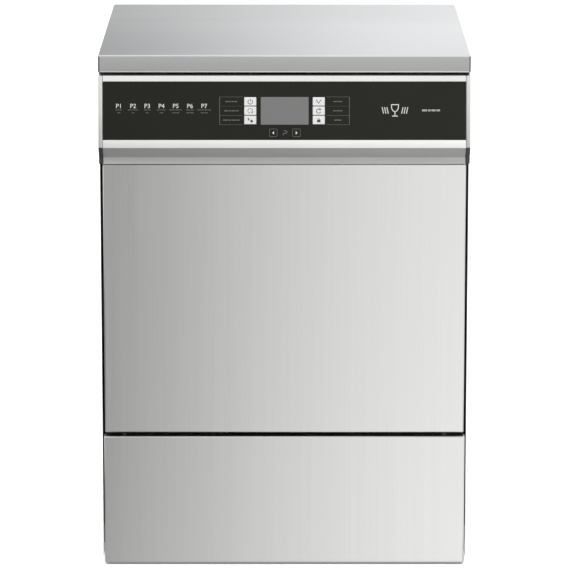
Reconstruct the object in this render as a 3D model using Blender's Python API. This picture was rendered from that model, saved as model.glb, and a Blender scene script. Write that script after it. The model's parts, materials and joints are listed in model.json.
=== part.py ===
"""Undercounter glass washer: a steel cabinet with a drop-down door, two racks and its working parts.

Metres, +Z up, +X to the right of someone who faces the door, which looks towards -Y.
The origin is on the floor under the middle of the machine.
"""

import math

import bmesh
import bpy
from mathutils import Vector

# ---------------------------------------------------------------- driving dimensions

WIDTH = 0.600
WORKTOP_DEPTH = 0.600
HEIGHT = 0.850
LIP_REACH = 0.020  # the console's lip stands this far in front of the worktop
GAP = 0.0003  # clearance between pieces that touch
SHEET = 0.001  # outer sheet steel

HALF = WIDTH / 2
FRONT = LIP_REACH / 2 - WORKTOP_DEPTH / 2  # plane of the door, the kick panel and the worktop's front
BACK = FRONT + WORKTOP_DEPTH

WORKTOP_FASCIA = 0.028
WORKTOP_Z = HEIGHT - WORKTOP_FASCIA

# Cabinet shell
SIDE_OUT = HALF - GAP
SIDE_IN = SIDE_OUT - SHEET
CASE_FRONT = FRONT + 0.025  # the side panels' front edges
CASE_BACK = 0.2860
CASE_TOP = WORKTOP_Z - 0.0005
SIDE_FOOT = 0.009  # height of the side panels' lower edges
TRAY_Z = 0.030
TRAY_WALL = 0.0015
TRAY_RIM = 0.060
KICK_LOW = 0.003
KICK_TOP = 0.218
KICK_HALF = 0.296

# Door
DOOR_LOW = 0.225
DOOR_TOP = 0.672
DOOR_HALF = 0.294
PIVOT_Y = FRONT + 0.010
PIVOT_Z = DOOR_LOW + 0.0055
LINER_FRONT = -0.2437
LINER_BACK = LINER_FRONT + SHEET
LINER_TOP = 0.8008
LINER_HALF = 0.2925
EMBOSS = 0.007  # how far the liner's middle is pressed into the chamber
PIN_X = 0.256  # inner end of each hinge pin
PIN_RADIUS = 0.003

# Console, which leans so that its lower edge, the lip, comes forward
CONSOLE_TOP = 0.8165
CONSOLE_LOW = 0.6725
CONSOLE_HALF = 0.2925
LIP_Z = 0.702
CONSOLE_LEAN = math.atan2(LIP_REACH + GAP, CONSOLE_TOP - LIP_Z)
FACE_LENGTH = math.hypot(LIP_REACH + GAP, CONSOLE_TOP - LIP_Z)
FASCIA_START = 0.0094  # measured down the leaning face
FASCIA_LENGTH = 0.0938
FASCIA_THICK = 0.002
FASCIA_HALF = 0.2922
WALL = 0.0025  # console profile

# Controls, measured from the middle of the fascia and down it
KEY_WIDE = 0.0198
KEY_PITCH = 0.0149
KEY_HIGH = KEY_PITCH - 0.0007
KEY_THICK = 0.0042
KEY_TRAVEL = 0.001
KEY_COLUMNS = (-0.0549, 0.0554)
KEY_FIRST = 0.0320  # from the fascia's top edge to the middle of the first row
ARROW_COLUMNS = (-0.0179, 0.0195)
ARROW_SIDE = 0.0140
ARROW_DOWN = 0.0823
DISPLAY_WIDE = 0.0770
DISPLAY_HIGH = 0.0444
DISPLAY_X = 0.0005

# Wash chamber
TUB_HALF = 0.266
TUB_MOUTH = -0.238
TUB_BACK = 0.262
TUB_LOW = 0.262
TUB_TOP = 0.782
TUB_WALL = 0.0012
FLANGE_HALF = 0.290
FLANGE_LOW = 0.240
FLANGE_TOP = 0.807
SUMP_Y = -0.115
SUMP_HOLE = 0.080
ARM_Y = 0.008  # axis of both spray arms
ARM_RADIUS = 0.218
LOWER_ARM_Z = 0.288
UPPER_ARM_Z = 0.545
ARM_THICK = 0.012

# Racks
RACK_FRONT = -0.220
RACK_BACK = 0.232
RACK_HIGH = 0.108
LOWER_RACK_Z = 0.350
LOWER_RACK_HALF = 0.244
UPPER_RACK_Z = 0.566
UPPER_RACK_HALF = 0.234
WIRE = 0.004
SLIDE_Z = UPPER_RACK_Z  # middle of the upper rack's side bars

# ---------------------------------------------------------------- scene and materials

for old in list(bpy.data.objects):
    bpy.data.objects.remove(old, do_unlink=True)


def material(name, colour, roughness, metallic=0.0):
    made = bpy.data.materials.new(name)
    made.use_nodes = True
    shader = made.node_tree.nodes["Principled BSDF"]
    shader.inputs["Base Color"].default_value = (*colour, 1.0)
    shader.inputs["Roughness"].default_value = roughness
    shader.inputs["Metallic"].default_value = metallic
    return made


BRUSHED = material("brushed_steel", (0.62, 0.62, 0.61), 0.32, 1.0)
PRESSED = material("pressed_steel", (0.66, 0.66, 0.65), 0.22, 1.0)
ZINC = material("zinc_plate", (0.50, 0.51, 0.52), 0.45, 1.0)
SILVER = material("silver_profile", (0.80, 0.80, 0.79), 0.40)
CAP_GREY = material("cap_grey", (0.62, 0.62, 0.61), 0.45)
BLACK = material("black_fascia", (0.024, 0.025, 0.021), 0.30)
KEY_WHITE = material("key_white", (0.80, 0.80, 0.80), 0.40)
DISPLAY = material("display_grey", (0.24, 0.24, 0.24), 0.15)
BOARD = material("circuit_board", (0.02, 0.16, 0.06), 0.50)
RUBBER = material("black_rubber", (0.03, 0.03, 0.03), 0.70)
DARK = material("dark_plastic", (0.06, 0.06, 0.065), 0.50)
PALE = material("pale_plastic", (0.72, 0.73, 0.74), 0.45)
FELT = material("damping_felt", (0.10, 0.10, 0.10), 0.90)
COATED = material("coated_wire", (0.55, 0.57, 0.59), 0.40)
WOODEN = material("filler_board", (0.50, 0.38, 0.24), 0.80)


# ---------------------------------------------------------------- shape helpers


def empty(name, location, parent=None, lean=0.0):
    made = bpy.data.objects.new(name, None)
    bpy.context.scene.collection.objects.link(made)
    made.parent = parent
    made.location = location
    made.rotation_euler.x = lean
    return made


def add_object(name, shape, parent, finish=None, smooth=False):
    """Makes an object of a bmesh whose points are measured from the floor's origin."""
    bmesh.ops.recalc_face_normals(shape, faces=shape.faces)
    mesh = bpy.data.meshes.new(name)
    shape.to_mesh(mesh)
    shape.free()
    made = bpy.data.objects.new(name, mesh)
    bpy.context.scene.collection.objects.link(made)
    if finish:
        mesh.materials.append(finish)
    if smooth:
        mesh.shade_smooth()
        mesh.set_sharp_from_angle(angle=math.radians(35))
    made.parent = parent
    if parent and not parent.get("own_axes"):
        made.location = -parent.matrix_world.translation
    return made


def box(low, high, shape=None):
    shape = shape or bmesh.new()
    (x0, y0, z0), (x1, y1, z1) = low, high
    corner = [shape.verts.new((x, y, z)) for x in (x0, x1) for y in (y0, y1) for z in (z0, z1)]
    for side in ((0, 1, 3, 2), (4, 6, 7, 5), (0, 4, 5, 1), (2, 3, 7, 6), (0, 2, 6, 4), (1, 5, 7, 3)):
        shape.faces.new([corner[i] for i in side])
    return shape


def open_box(low, high, missing):
    """A box without the face on one side, given as an outward direction."""
    shape = box(low, high)
    bmesh.ops.recalc_face_normals(shape, faces=shape.faces)
    away = Vector(missing)
    bmesh.ops.delete(shape, geom=[f for f in shape.faces if f.normal.dot(away) > 0.9], context="FACES_ONLY")
    return shape


def prism(outline, axis, start, end, shape=None):
    """Extrudes an outline along an axis. Its points are (y, z) for X, (x, z) for Y and (x, y) for Z."""
    shape = shape or bmesh.new()

    def at(point, along):
        a, b = point
        return {"X": (along, a, b), "Y": (a, along, b), "Z": (a, b, along)}[axis]

    first = [shape.verts.new(at(p, start)) for p in outline]
    last = [shape.verts.new(at(p, end)) for p in outline]
    count = len(outline)
    shape.faces.new(first)
    shape.faces.new(list(reversed(last)))
    for i in range(count):
        j = (i + 1) % count
        shape.faces.new((first[i], first[j], last[j], last[i]))
    return shape


def turned(profile, axis, centre, steps=24, shape=None):
    """Turns a profile of (radius, height) points about an axis through centre.

    The profile starts and ends on the axis, or is a closed ring.
    """
    shape = shape or bmesh.new()
    cx, cy, cz = centre

    def at(radius, height, angle):
        a, b = radius * math.cos(angle), radius * math.sin(angle)
        return {
            "X": (cx + height, cy + a, cz + b),
            "Y": (cx + a, cy + height, cz + b),
            "Z": (cx + a, cy + b, cz + height),
        }[axis]

    rings = []
    for radius, height in profile:
        count = 1 if radius == 0 else steps
        rings.append([shape.verts.new(at(radius, height, math.tau * k / steps)) for k in range(count)])
    pairs = list(zip(rings, rings[1:]))
    if len(rings[0]) > 1:
        pairs.append((rings[-1], rings[0]))
    for lower, upper in pairs:
        for k in range(steps):
            n = (k + 1) % steps
            around = [ring[i % len(ring)] for ring, i in ((lower, k), (lower, n), (upper, n), (upper, k))]
            face = list(dict.fromkeys(around))
            if len(face) > 2:
                shape.faces.new(face)
    return shape


def drill(radius, reach=0.020):
    """The profile of a round cutter that reaches this far to both sides of its centre."""
    return [(0, -reach), (radius, -reach), (radius, reach), (0, reach)]


def rectangle_rings(low, high, steps, closed):
    """Joins rectangles in the XZ plane, each given by its inset from low and high and its y.

    A closed run comes back to its first rectangle, and an open one is capped at both ends.
    """
    shape = bmesh.new()
    loops = []
    for inset, y in steps:
        x0, x1, z0, z1 = low[0] + inset, high[0] - inset, low[1] + inset, high[1] - inset
        loops.append([shape.verts.new(p) for p in ((x0, y, z0), (x1, y, z0), (x1, y, z1), (x0, y, z1))])
    pairs = list(zip(loops, loops[1:]))
    if closed:
        pairs.append((loops[-1], loops[0]))
    else:
        shape.faces.new(loops[0])
        shape.faces.new(loops[-1])
    for here, after in pairs:
        for i in range(4):
            j = (i + 1) % 4
            shape.faces.new((here[i], here[j], after[j], after[i]))
    return shape


def bevel(made, width, segments=1, angle=40):
    edge = made.modifiers.new("bevel", "BEVEL")
    edge.width = width
    edge.segments = segments
    edge.limit_method = "ANGLE"
    edge.angle_limit = math.radians(angle)
    return made


def thicken(made, thickness):
    """Gives a sheet its thickness on the side that its faces look away from."""
    skin = made.modifiers.new("thickness", "SOLIDIFY")
    skin.thickness = thickness
    skin.offset = -1
    skin.use_even_offset = True
    return made


def combine(made, shape, operation):
    """Cuts another shape away, or joins it on, with a helper object that stays out of the model."""
    helper = add_object(f"{made.name}_{operation.lower()}", shape, made.parent)
    helper.hide_render = True
    helper.display_type = "WIRE"
    step = made.modifiers.new(operation.lower(), "BOOLEAN")
    step.operation = operation
    step.object = helper
    return made


def cut(made, shape):
    return combine(made, shape, "DIFFERENCE")


def join(made, shape):
    return combine(made, shape, "UNION")


def mirrored(low, high):
    """The box's corners on the other side of the machine's middle."""
    return (-high[0], low[1], low[2]), (-low[0], high[1], high[2])


def both_sides(low, high):
    """Two boxes, one on each side of the middle, as one helper shape."""
    return box(*mirrored(low, high), box(low, high))


# ---------------------------------------------------------------- frames of the moving bodies

cabinet = empty("cabinet_origin", (0, 0, 0))
door_axis = empty("door_axis", (0, PIVOT_Y, PIVOT_Z))
upper_slide = empty("upper_rack_origin", (0, 0, 0))
lower_slide = empty("lower_rack_origin", (0, 0, 0))
lower_arm_axis = empty("lower_arm_axis", (0, ARM_Y, LOWER_ARM_Z))
upper_arm_axis = empty("upper_arm_axis", (0, ARM_Y, UPPER_ARM_Z))
filter_axis = empty("filter_axis", (0, SUMP_Y, TUB_LOW))
bpy.context.view_layer.update()

# The console's leaning face: x across, y into the console, z up the face from its top edge.
face_frame = empty(
    "console_face", (0, FRONT + GAP - PIVOT_Y, CONSOLE_TOP - PIVOT_Z), parent=door_axis, lean=-CONSOLE_LEAN
)
face_frame["own_axes"] = True


def face_point(depth, down):
    """The (y, z) of a point given by its depth into the leaning face and its distance down it."""
    y = FRONT + GAP + depth * math.cos(CONSOLE_LEAN) - down * math.sin(CONSOLE_LEAN)
    z = CONSOLE_TOP - depth * math.sin(CONSOLE_LEAN) - down * math.cos(CONSOLE_LEAN)
    return y, z


# ---------------------------------------------------------------- cabinet shell


def make_worktop():
    sheet = open_box((-HALF, FRONT, WORKTOP_Z), (HALF, BACK, HEIGHT), (0, 0, -1))
    skin = add_object("worktop_skin", sheet, cabinet, BRUSHED)
    bevel(skin, 0.0025, 2)
    thicken(skin, SHEET)
    inset = SHEET + 0.002
    low = (-HALF + inset, FRONT + inset, WORKTOP_Z + 0.002)
    high = (HALF - inset, BACK - inset, HEIGHT - SHEET - GAP)
    bevel(add_object("worktop_board", box(low, high), cabinet, WOODEN), 0.002)


def make_side_panel(name, side):
    rear_flange = 0.020
    outline = [
        (side * SIDE_OUT, CASE_FRONT),
        (side * SIDE_OUT, CASE_BACK),
        (side * (SIDE_OUT - rear_flange), CASE_BACK),
        (side * (SIDE_OUT - rear_flange), CASE_BACK - SHEET),
        (side * SIDE_IN, CASE_BACK - SHEET),
        (side * SIDE_IN, CASE_FRONT),
    ]
    add_object(name, prism(outline, "Z", SIDE_FOOT, CASE_TOP), cabinet, BRUSHED)


INLET_AT = (-0.205, 0.110)
DRAIN_AT = (-0.120, 0.095)
GLAND_AT = (0.205, 0.095)


def make_rear_panel():
    rear = CASE_BACK + GAP
    panel = add_object(
        "rear_panel", box((-SIDE_IN, rear, TRAY_Z), (SIDE_IN, rear + SHEET, CASE_TOP)), cabinet, ZINC
    )
    cutter = bmesh.new()
    for (x, z), radius in ((INLET_AT, 0.0125), (DRAIN_AT, 0.0135), (GLAND_AT, 0.0105)):
        turned([(0, -0.010), (radius, -0.010), (radius, 0.010), (0, 0.010)], "Y", (x, rear, z), 16, cutter)
    vents = 9
    for k in range(vents):
        x = (k - (vents - 1) / 2) * 0.024
        box((x - 0.003, rear - 0.010, 0.735), (x + 0.003, rear + 0.010, 0.785), cutter)
    cut(panel, cutter)


FEET = {
    "foot_front_left": (-0.250, -0.220),
    "foot_front_right": (0.250, -0.220),
    "foot_rear_left": (-0.250, 0.245),
    "foot_rear_right": (0.250, 0.245),
}
FOOT_STEM = 0.006


def make_base():
    low = (-SIDE_IN + GAP, CASE_FRONT + 0.003, TRAY_Z)
    high = (SIDE_IN - GAP, CASE_BACK - SHEET - GAP, TRAY_RIM)
    tray = add_object("base_tray", open_box(low, high, (0, 0, 1)), cabinet, ZINC)
    thicken(tray, TRAY_WALL)
    holes = bmesh.new()
    for x, y in FEET.values():
        clear = FOOT_STEM + GAP
        turned([(0, -0.010), (clear, -0.010), (clear, 0.010), (0, 0.010)], "Z", (x, y, TRAY_Z), 16, holes)
    cut(tray, holes)
    profile = [
        (0, 0),
        (0.0195, 0),
        (0.021, 0.002),
        (0.021, 0.006),
        (0.015, 0.011),
        (0.010, 0.0125),
        (0.010, 0.020),
        (FOOT_STEM, 0.020),
        (FOOT_STEM, 0.046),
        (0, 0.046),
    ]
    for name, (x, y) in FEET.items():
        add_object(name, turned(profile, "Z", (x, y, 0), 16), cabinet, DARK, smooth=True)


def make_kick_panel():
    low = (-KICK_HALF, FRONT, KICK_LOW)
    high = (KICK_HALF, CASE_FRONT - 0.0012, KICK_TOP)
    panel = add_object("kick_panel", open_box(low, high, (0, 1, 0)), cabinet, BRUSHED)
    bevel(panel, 0.0015)
    thicken(panel, SHEET)


RAIL_FRONT = -0.2405


def make_crossrail():
    low, high = FLANGE_TOP + 0.0015, CASE_TOP - GAP
    back = RAIL_FRONT + 0.026
    wall = 0.0012
    outline = [
        (RAIL_FRONT, low),
        (RAIL_FRONT, high),
        (back, high),
        (back, high - wall),
        (RAIL_FRONT + wall, high - wall),
        (RAIL_FRONT + wall, low + wall),
        (back, low + wall),
        (back, low),
    ]
    half = SIDE_IN - GAP
    add_object("front_crossrail", prism(outline, "X", -half, half), cabinet, ZINC)
    strike = add_object(
        "lock_strike", box((-0.010, -0.2600, 0.8088), (0.010, RAIL_FRONT - GAP, 0.8112)), cabinet, PRESSED
    )
    eye = box((-0.005, -0.2560, 0.800), (0.005, -0.2480, 0.820))
    cut(strike, eye)


# ---------------------------------------------------------------- wash chamber


def make_tub():
    shape = open_box((-TUB_HALF, TUB_MOUTH, TUB_LOW), (TUB_HALF, TUB_BACK, TUB_TOP), (0, -1, 0))
    rim = [e for e in shape.edges if e.is_boundary]
    grown = bmesh.ops.extrude_edge_only(shape, edges=rim)
    for v in grown["geom"]:
        if isinstance(v, bmesh.types.BMVert):
            v.co.x = math.copysign(FLANGE_HALF, v.co.x)
            v.co.z = FLANGE_LOW if v.co.z < HALF else FLANGE_TOP
    tub = add_object("wash_tub", shape, cabinet, PRESSED, smooth=True)
    bevel(tub, 0.006, 2)
    thicken(tub, TUB_WALL)  # the flanged shell's faces look into the chamber, so its wall grows outwards
    holes = turned(drill(SUMP_HOLE), "Z", (0, SUMP_Y, TUB_LOW), 32)
    turned(drill(0.018), "Z", (0, ARM_Y, TUB_LOW), 20, holes)
    cut(tub, holes)
    near, far, border = LINER_BACK + GAP, TUB_MOUTH - GAP, 0.010
    steps = [(0, near), (0, far), (border, far), (border, near)]
    seal = rectangle_rings((-0.2855, 0.2430), (0.2855, 0.7990), steps, closed=True)
    add_object("tub_seal", seal, cabinet, RUBBER)


def make_sump():
    top = TUB_LOW - TUB_WALL - GAP
    profile = [
        (0, 0.184),
        (0.042, 0.184),
        (0.060, 0.192),
        (0.072, 0.215),
        (0.0815, 0.2530),
        (0.095, 0.2570),
        (0.095, top),
        (0.0792, top),
        (0.0792, 0.2545),
        (0.0700, 0.2545),
        (0.0700, 0.2180),
        (0.0580, 0.1950),
        (0.0410, 0.1870),
        (0, 0.1870),
    ]
    add_object("sump_bowl", turned(profile, "Z", (0, SUMP_Y, 0), 32), cabinet, DARK, smooth=True)
    low, high = 0.2545 + GAP, 0.2568
    plate = [(0.0360, low), (0.0785, low), (0.0785, high), (0.0360, high)]
    add_object("filter_plate", turned(plate, "Z", (0, SUMP_Y, 0), 32), cabinet, PRESSED, smooth=True)
    cup = [
        (0, 0.200),
        (0.030, 0.200),
        (0.034, 0.206),
        (0.034, 0.2660),
        (0.031, 0.2685),
        (0.012, 0.2685),
        (0.010, 0.2750),
        (0, 0.2750),
    ]
    add_object("filter_cup", turned(cup, "Z", (0, SUMP_Y, 0), 24), filter_axis, DARK, smooth=True)


def make_heater():
    """A sheathed loop just above the tub's floor, entering through the back wall."""
    reach, front, back, corner = 0.222, -0.212, 0.222, 0.030
    route = []

    def arc(cx, cy, start):
        steps = 4
        for k in range(steps + 1):
            angle = math.radians(start - 90 * k / steps)
            route.append((cx + corner * math.cos(angle), cy + corner * math.sin(angle)))

    route.append((0.030, TUB_BACK - 0.001))
    route.append((0.030, back + 0.012))
    route.append((0.042, back))
    arc(reach - corner, back - corner, 90)
    arc(reach - corner, front + corner, 0)
    route += [(-x, y) for x, y in reversed(route)]
    curve = bpy.data.curves.new("heating_element", "CURVE")
    curve.dimensions = "3D"
    curve.bevel_depth = 0.004
    curve.bevel_resolution = 1
    curve.use_fill_caps = True
    line = curve.splines.new("POLY")
    line.points.add(len(route) - 1)
    for point, (x, y) in zip(line.points, route):
        point.co = (x, y, TUB_LOW + 0.0110, 1)
    curve.materials.append(PRESSED)
    made = bpy.data.objects.new("heating_element", curve)
    bpy.context.scene.collection.objects.link(made)
    made.parent = cabinet


def arm_outline(hub=0.034, root=0.021, tip=0.013):
    """Half-widths along a two-armed blade that swells into a round hub, with rounded ends."""
    stations = [-1, -0.985, -0.95, -0.55, -0.20, -0.13, -0.08, 0, 0.08, 0.13, 0.20, 0.55, 0.95, 0.985, 1]
    upper = []
    for station in stations:
        x = station * ARM_RADIUS
        blade = tip + (root - tip) * (1 - abs(station))
        if abs(station) > 0.95:
            blade *= math.sqrt(max(0.04, 1 - ((abs(station) - 0.95) / 0.055) ** 2))
        swell = math.sqrt(hub**2 - x**2) if abs(x) < hub else 0
        upper.append((x, max(blade, swell)))
    return upper + [(x, -y) for x, y in reversed(upper)]


def make_spray_arm(name, low, axis):
    outline = [(x, y + ARM_Y) for x, y in arm_outline()]
    arm = add_object(name, prism(outline, "Z", low, low + ARM_THICK), axis, PRESSED, smooth=True)
    bevel(arm, 0.0025, 1, angle=60)
    return arm


def make_water_paths():
    pillar = [
        (0.0095, 0.244),
        (0.0175, 0.244),
        (0.0175, TUB_LOW + GAP),
        (0.026, TUB_LOW + GAP),
        (0.026, 0.268),
        (0.018, 0.276),
        (0.018, LOWER_ARM_Z - GAP),
        (0.0095, LOWER_ARM_Z - GAP),
    ]
    add_object("lower_spray_pillar", turned(pillar, "Z", (0, ARM_Y, 0), 20), cabinet, DARK, smooth=True)
    make_spray_arm("lower_spray_arm", LOWER_ARM_Z, lower_arm_axis)
    make_spray_arm("upper_spray_arm", UPPER_ARM_Z, upper_arm_axis)
    back = TUB_BACK - GAP
    duct = add_object("rear_water_duct", box((-0.018, 0.2480, 0.280), (0.018, back, 0.600)), cabinet, DARK)
    bevel(duct, 0.003)
    nozzle = turned([(0, 0), (0.014, 0), (0.011, -0.010), (0, -0.010)], "Y", (0, 0.2480 + 0.001, 0.5510), 16)
    join(duct, nozzle)


def make_runners():
    """Lower ledges that the lower rack slides on, and channels that hold the upper rack's side bars."""
    wall = 0.0012
    tub = TUB_HALF - GAP
    ledge = LOWER_RACK_Z - WIRE / 2 - GAP
    for name, side in (("lower_runner_left", -1), ("lower_runner_right", 1)):
        outline = [
            (side * tub, ledge + 0.020),
            (side * tub, ledge - wall),
            (side * 0.236, ledge - wall),
            (side * 0.236, ledge),
            (side * (tub - wall), ledge),
            (side * (tub - wall), ledge + 0.020),
        ]
        add_object(name, prism(outline, "Y", -0.222, 0.236), cabinet, PRESSED)
    low, high = SLIDE_Z - 0.0085, SLIDE_Z + 0.0085
    mouth = 0.2450
    for name, side in (("upper_runner_left", -1), ("upper_runner_right", 1)):
        outline = [
            (side * tub, low),
            (side * tub, high),
            (side * mouth, high),
            (side * mouth, high - wall),
            (side * (tub - wall), high - wall),
            (side * (tub - wall), low + wall),
            (side * mouth, low + wall),
            (side * mouth, low),
        ]
        add_object(name, prism(outline, "Y", -0.222, 0.236), cabinet, PRESSED)


# ---------------------------------------------------------------- machinery in the base


def make_machinery():
    floor = TRAY_Z + TRAY_WALL + GAP
    pump_at = (-0.150, -0.020, 0.112)
    volute = [(0, 0), (0.020, 0), (0.056, 0.006), (0.060, 0.016), (0.056, 0.036), (0.030, 0.040)]
    motor = [(0.030, 0.050), (0.045, 0.054), (0.047, 0.060), (0.047, 0.165), (0.043, 0.172)]
    motor += [(0.016, 0.176), (0, 0.176)]
    pump = add_object(
        "circulation_pump", turned(volute + motor, "X", pump_at, 24), cabinet, DARK, smooth=True
    )
    x, y, z = pump_at
    join(pump, box((x + 0.070, y - 0.035, floor), (x + 0.150, y + 0.035, z - 0.032)))

    drain_at = (0.140, -0.150, 0.075)
    drain = [(0, 0), (0.034, 0), (0.036, 0.004), (0.036, 0.030), (0.024, 0.034), (0.024, 0.080), (0, 0.080)]
    drain_pump = add_object("drain_pump", turned(drain, "X", drain_at, 20), cabinet, PALE, smooth=True)
    join(drain_pump, box((0.145, -0.175, floor), (0.165, -0.125, 0.055)))

    dosing = add_object("dosing_pump", box((-0.270, 0.100, 0.120), (-0.215, 0.170, 0.190)), cabinet, PALE)
    bevel(dosing, 0.004)
    head = [(0, 0), (0.024, 0), (0.024, 0.022), (0.020, 0.026), (0, 0.026)]
    join(dosing, turned(head, "X", (-0.216, 0.135, 0.155), 20))

    power = add_object("power_box", box((0.110, 0.118, floor), (0.270, 0.226, 0.160)), cabinet, PALE)
    bevel(power, 0.003)
    lid = box((0.107, 0.115, 0.150), (0.273, 0.229, 0.156))
    join(power, lid)

    rear = CASE_BACK + GAP
    x, z = INLET_AT
    valve = [(0, -0.075), (0.016, -0.075), (0.016, -0.030), (0.0118, -0.028), (0.0118, 0.012)]
    valve += [(0.0100, 0.0125), (0.0100, 0.0215), (0.0070, 0.0215), (0.0070, 0.005), (0, 0.005)]
    inlet = add_object("inlet_valve", turned(valve, "Y", (x, rear, z), 16), cabinet, PALE, smooth=True)
    join(inlet, box((x - 0.014, rear - 0.070, z + 0.008), (x + 0.014, rear - 0.040, z + 0.048)))

    x, z = DRAIN_AT
    outlet = [(0.0090, -0.060), (0.0125, -0.060), (0.0125, 0.010), (0.0110, 0.0215), (0.0090, 0.0215)]
    add_object("drain_outlet", turned(outlet, "Y", (x, rear, z), 16), cabinet, DARK, smooth=True)

    x, z = GLAND_AT
    gland = [(0.0050, -0.012), (0.0160, -0.012), (0.0160, -0.0008), (0.0098, -0.0008), (0.0098, 0.0015)]
    gland += [(0.0160, 0.0015), (0.0160, 0.010), (0.0110, 0.018), (0.0050, 0.018)]
    add_object("cable_gland", turned(gland, "Y", (x, rear, z), 12), cabinet, DARK, smooth=True)


# ---------------------------------------------------------------- hinges


def make_hinges():
    """A flat arm from the base on each side, reaching forward into the door's lower corner, and its pin."""
    arm_low, arm_high = PIVOT_Z - 0.006, PIVOT_Z + 0.006
    post_front, post_back = -0.255, -0.220
    outline = [
        (PIVOT_Y - 0.0065, arm_low + 0.002),
        (PIVOT_Y - 0.0045, arm_low),
        (post_front, arm_low),
        (post_front, TRAY_Z + TRAY_WALL + GAP),
        (post_back, TRAY_Z + TRAY_WALL + GAP),
        (post_back, arm_high),
        (PIVOT_Y - 0.0045, arm_high),
        (PIVOT_Y - 0.0065, arm_high - 0.002),
    ]
    shank = [
        (0, 0),
        (PIN_RADIUS, 0),
        (PIN_RADIUS, 0.016),
        (0.0042, 0.016),
        (0.0042, DOOR_HALF - 2.8 * SHEET - PIN_X),
        (0, DOOR_HALF - 2.8 * SHEET - PIN_X),
    ]
    for hand, side in (("left", -1), ("right", 1)):
        plate = prism(outline, "X", side * 0.2620, side * 0.2660)
        bracket = add_object(f"hinge_bracket_{hand}", plate, cabinet, ZINC)
        cut(bracket, turned(drill(PIN_RADIUS + GAP), "X", (side * 0.264, PIVOT_Y, PIVOT_Z), 16))
        profile = [(radius, side * along) for radius, along in shank]
        pin = turned(profile, "X", (side * PIN_X, PIVOT_Y, PIVOT_Z), 16)
        add_object(f"hinge_pin_{hand}", pin, door_axis, PRESSED, smooth=True)


# ---------------------------------------------------------------- door


def make_door_panels():
    low = (-DOOR_HALF, FRONT, DOOR_LOW)
    high = (DOOR_HALF, LINER_FRONT - 0.0018, DOOR_TOP)
    outer = add_object("door_outer_panel", open_box(low, high, (0, 1, 0)), door_axis, BRUSHED)
    bevel(outer, 0.0015)
    thicken(outer, SHEET)
    corner_top = DOOR_LOW + 0.0165
    notch_low = (0.250, FRONT + 0.0025, DOOR_LOW - 0.005)
    cut(outer, both_sides(notch_low, (DOOR_HALF - 0.0025, -0.240, corner_top)))

    flat, slope = 0.042, 0.008
    steps = [(flat + slope, LINER_FRONT + EMBOSS), (flat, LINER_FRONT), (0, LINER_FRONT)]
    steps += [(inset, y + SHEET) for inset, y in reversed(steps)]
    sheet = rectangle_rings((-LINER_HALF, DOOR_LOW + 0.0015), (LINER_HALF, LINER_TOP), steps, closed=False)
    liner = add_object("door_inner_liner", sheet, door_axis, PRESSED)
    cutter = both_sides((0.253, -0.250, DOOR_LOW - 0.005), (HALF, -0.238, corner_top))
    hole_low = (DISPENSER_X[0] - GAP, -0.250, DISPENSER_Z[0] - GAP)
    hole_high = (DISPENSER_X[1] + GAP, -0.220, DISPENSER_Z[1] + GAP)
    cut(liner, box(hole_low, hole_high, cutter))

    mat_low = (-0.246, FRONT + SHEET + GAP, DOOR_LOW + 0.018)
    add_object("door_damping_mat", box(mat_low, (0.246, FRONT + 0.0065, DOOR_TOP - 0.006)), door_axis, FELT)


DISPENSER_X = (-0.060, 0.120)
DISPENSER_Z = (0.430, 0.540)
DISPENSER_FACE = LINER_BACK + EMBOSS + 0.0005


def make_dispenser():
    low = (DISPENSER_X[0], -0.272, DISPENSER_Z[0])
    high = (DISPENSER_X[1], DISPENSER_FACE, DISPENSER_Z[1])
    body = add_object("dispenser_body", box(low, high), door_axis, PALE)
    cut(body, box((-0.050, -0.262, 0.440), (0.020, DISPENSER_FACE + 0.01, 0.530)))
    lid = box((-0.054, DISPENSER_FACE + GAP, 0.436), (0.024, DISPENSER_FACE + 0.0033, 0.534))
    bevel(add_object("dispenser_lid", lid, door_axis, PALE), 0.0012)


def make_console():
    """A hollow extruded profile with a shallow groove that holds the fascia, and a cap on each end."""
    back = LINER_FRONT - 0.0005
    step_y, step_z = -0.276, 0.801
    under_y = FRONT - 0.0005
    groove = FASCIA_THICK + GAP
    start, end = FASCIA_START - 0.0002, FASCIA_START + FASCIA_LENGTH + 0.0002
    slope = [face_point(0, 0)]
    lip = [face_point(0, FACE_LENGTH), (under_y, 0.6835), (under_y, CONSOLE_LOW)]
    recess = [face_point(0, start), face_point(groove, start), face_point(groove, end), face_point(0, end)]
    rear = [(back, CONSOLE_LOW), (back, step_z), (step_y, step_z), (step_y, CONSOLE_TOP)]
    outline = slope + recess + lip + rear
    profile = add_object(
        "console_profile", prism(outline, "X", -CONSOLE_HALF, CONSOLE_HALF), door_axis, SILVER
    )
    inner_wall = groove + WALL
    hollow = [
        face_point(inner_wall, WALL + 0.001),
        face_point(inner_wall, FACE_LENGTH - 0.004),
        (under_y + WALL, 0.6850),
        (under_y + WALL, CONSOLE_LOW + WALL),
        (back - WALL, CONSOLE_LOW + WALL),
        (back - WALL, step_z - WALL),
        (step_y - WALL, step_z - WALL),
        (step_y - WALL, CONSOLE_TOP - WALL),
    ]
    cut(profile, prism(hollow, "X", -HALF, HALF))
    window = box((-0.072, groove - 0.001, -0.1015), (0.073, inner_wall + 0.002, -0.0290))
    helper = add_object("console_window_cutter", window, face_frame)
    helper.hide_render = True
    helper.display_type = "WIRE"
    opening = profile.modifiers.new("window", "BOOLEAN")
    opening.operation = "DIFFERENCE"
    opening.object = helper

    cap_back = CASE_FRONT - 0.0018
    cap = slope + lip + [(cap_back, CONSOLE_LOW), (cap_back, CONSOLE_TOP)]
    for name, side in (("console_cap_left", -1), ("console_cap_right", 1)):
        near, far = side * (CONSOLE_HALF + 0.0005), side * (HALF - 0.0002)
        bevel(add_object(name, prism(cap, "X", near, far), door_axis, CAP_GREY), 0.0008)


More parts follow.
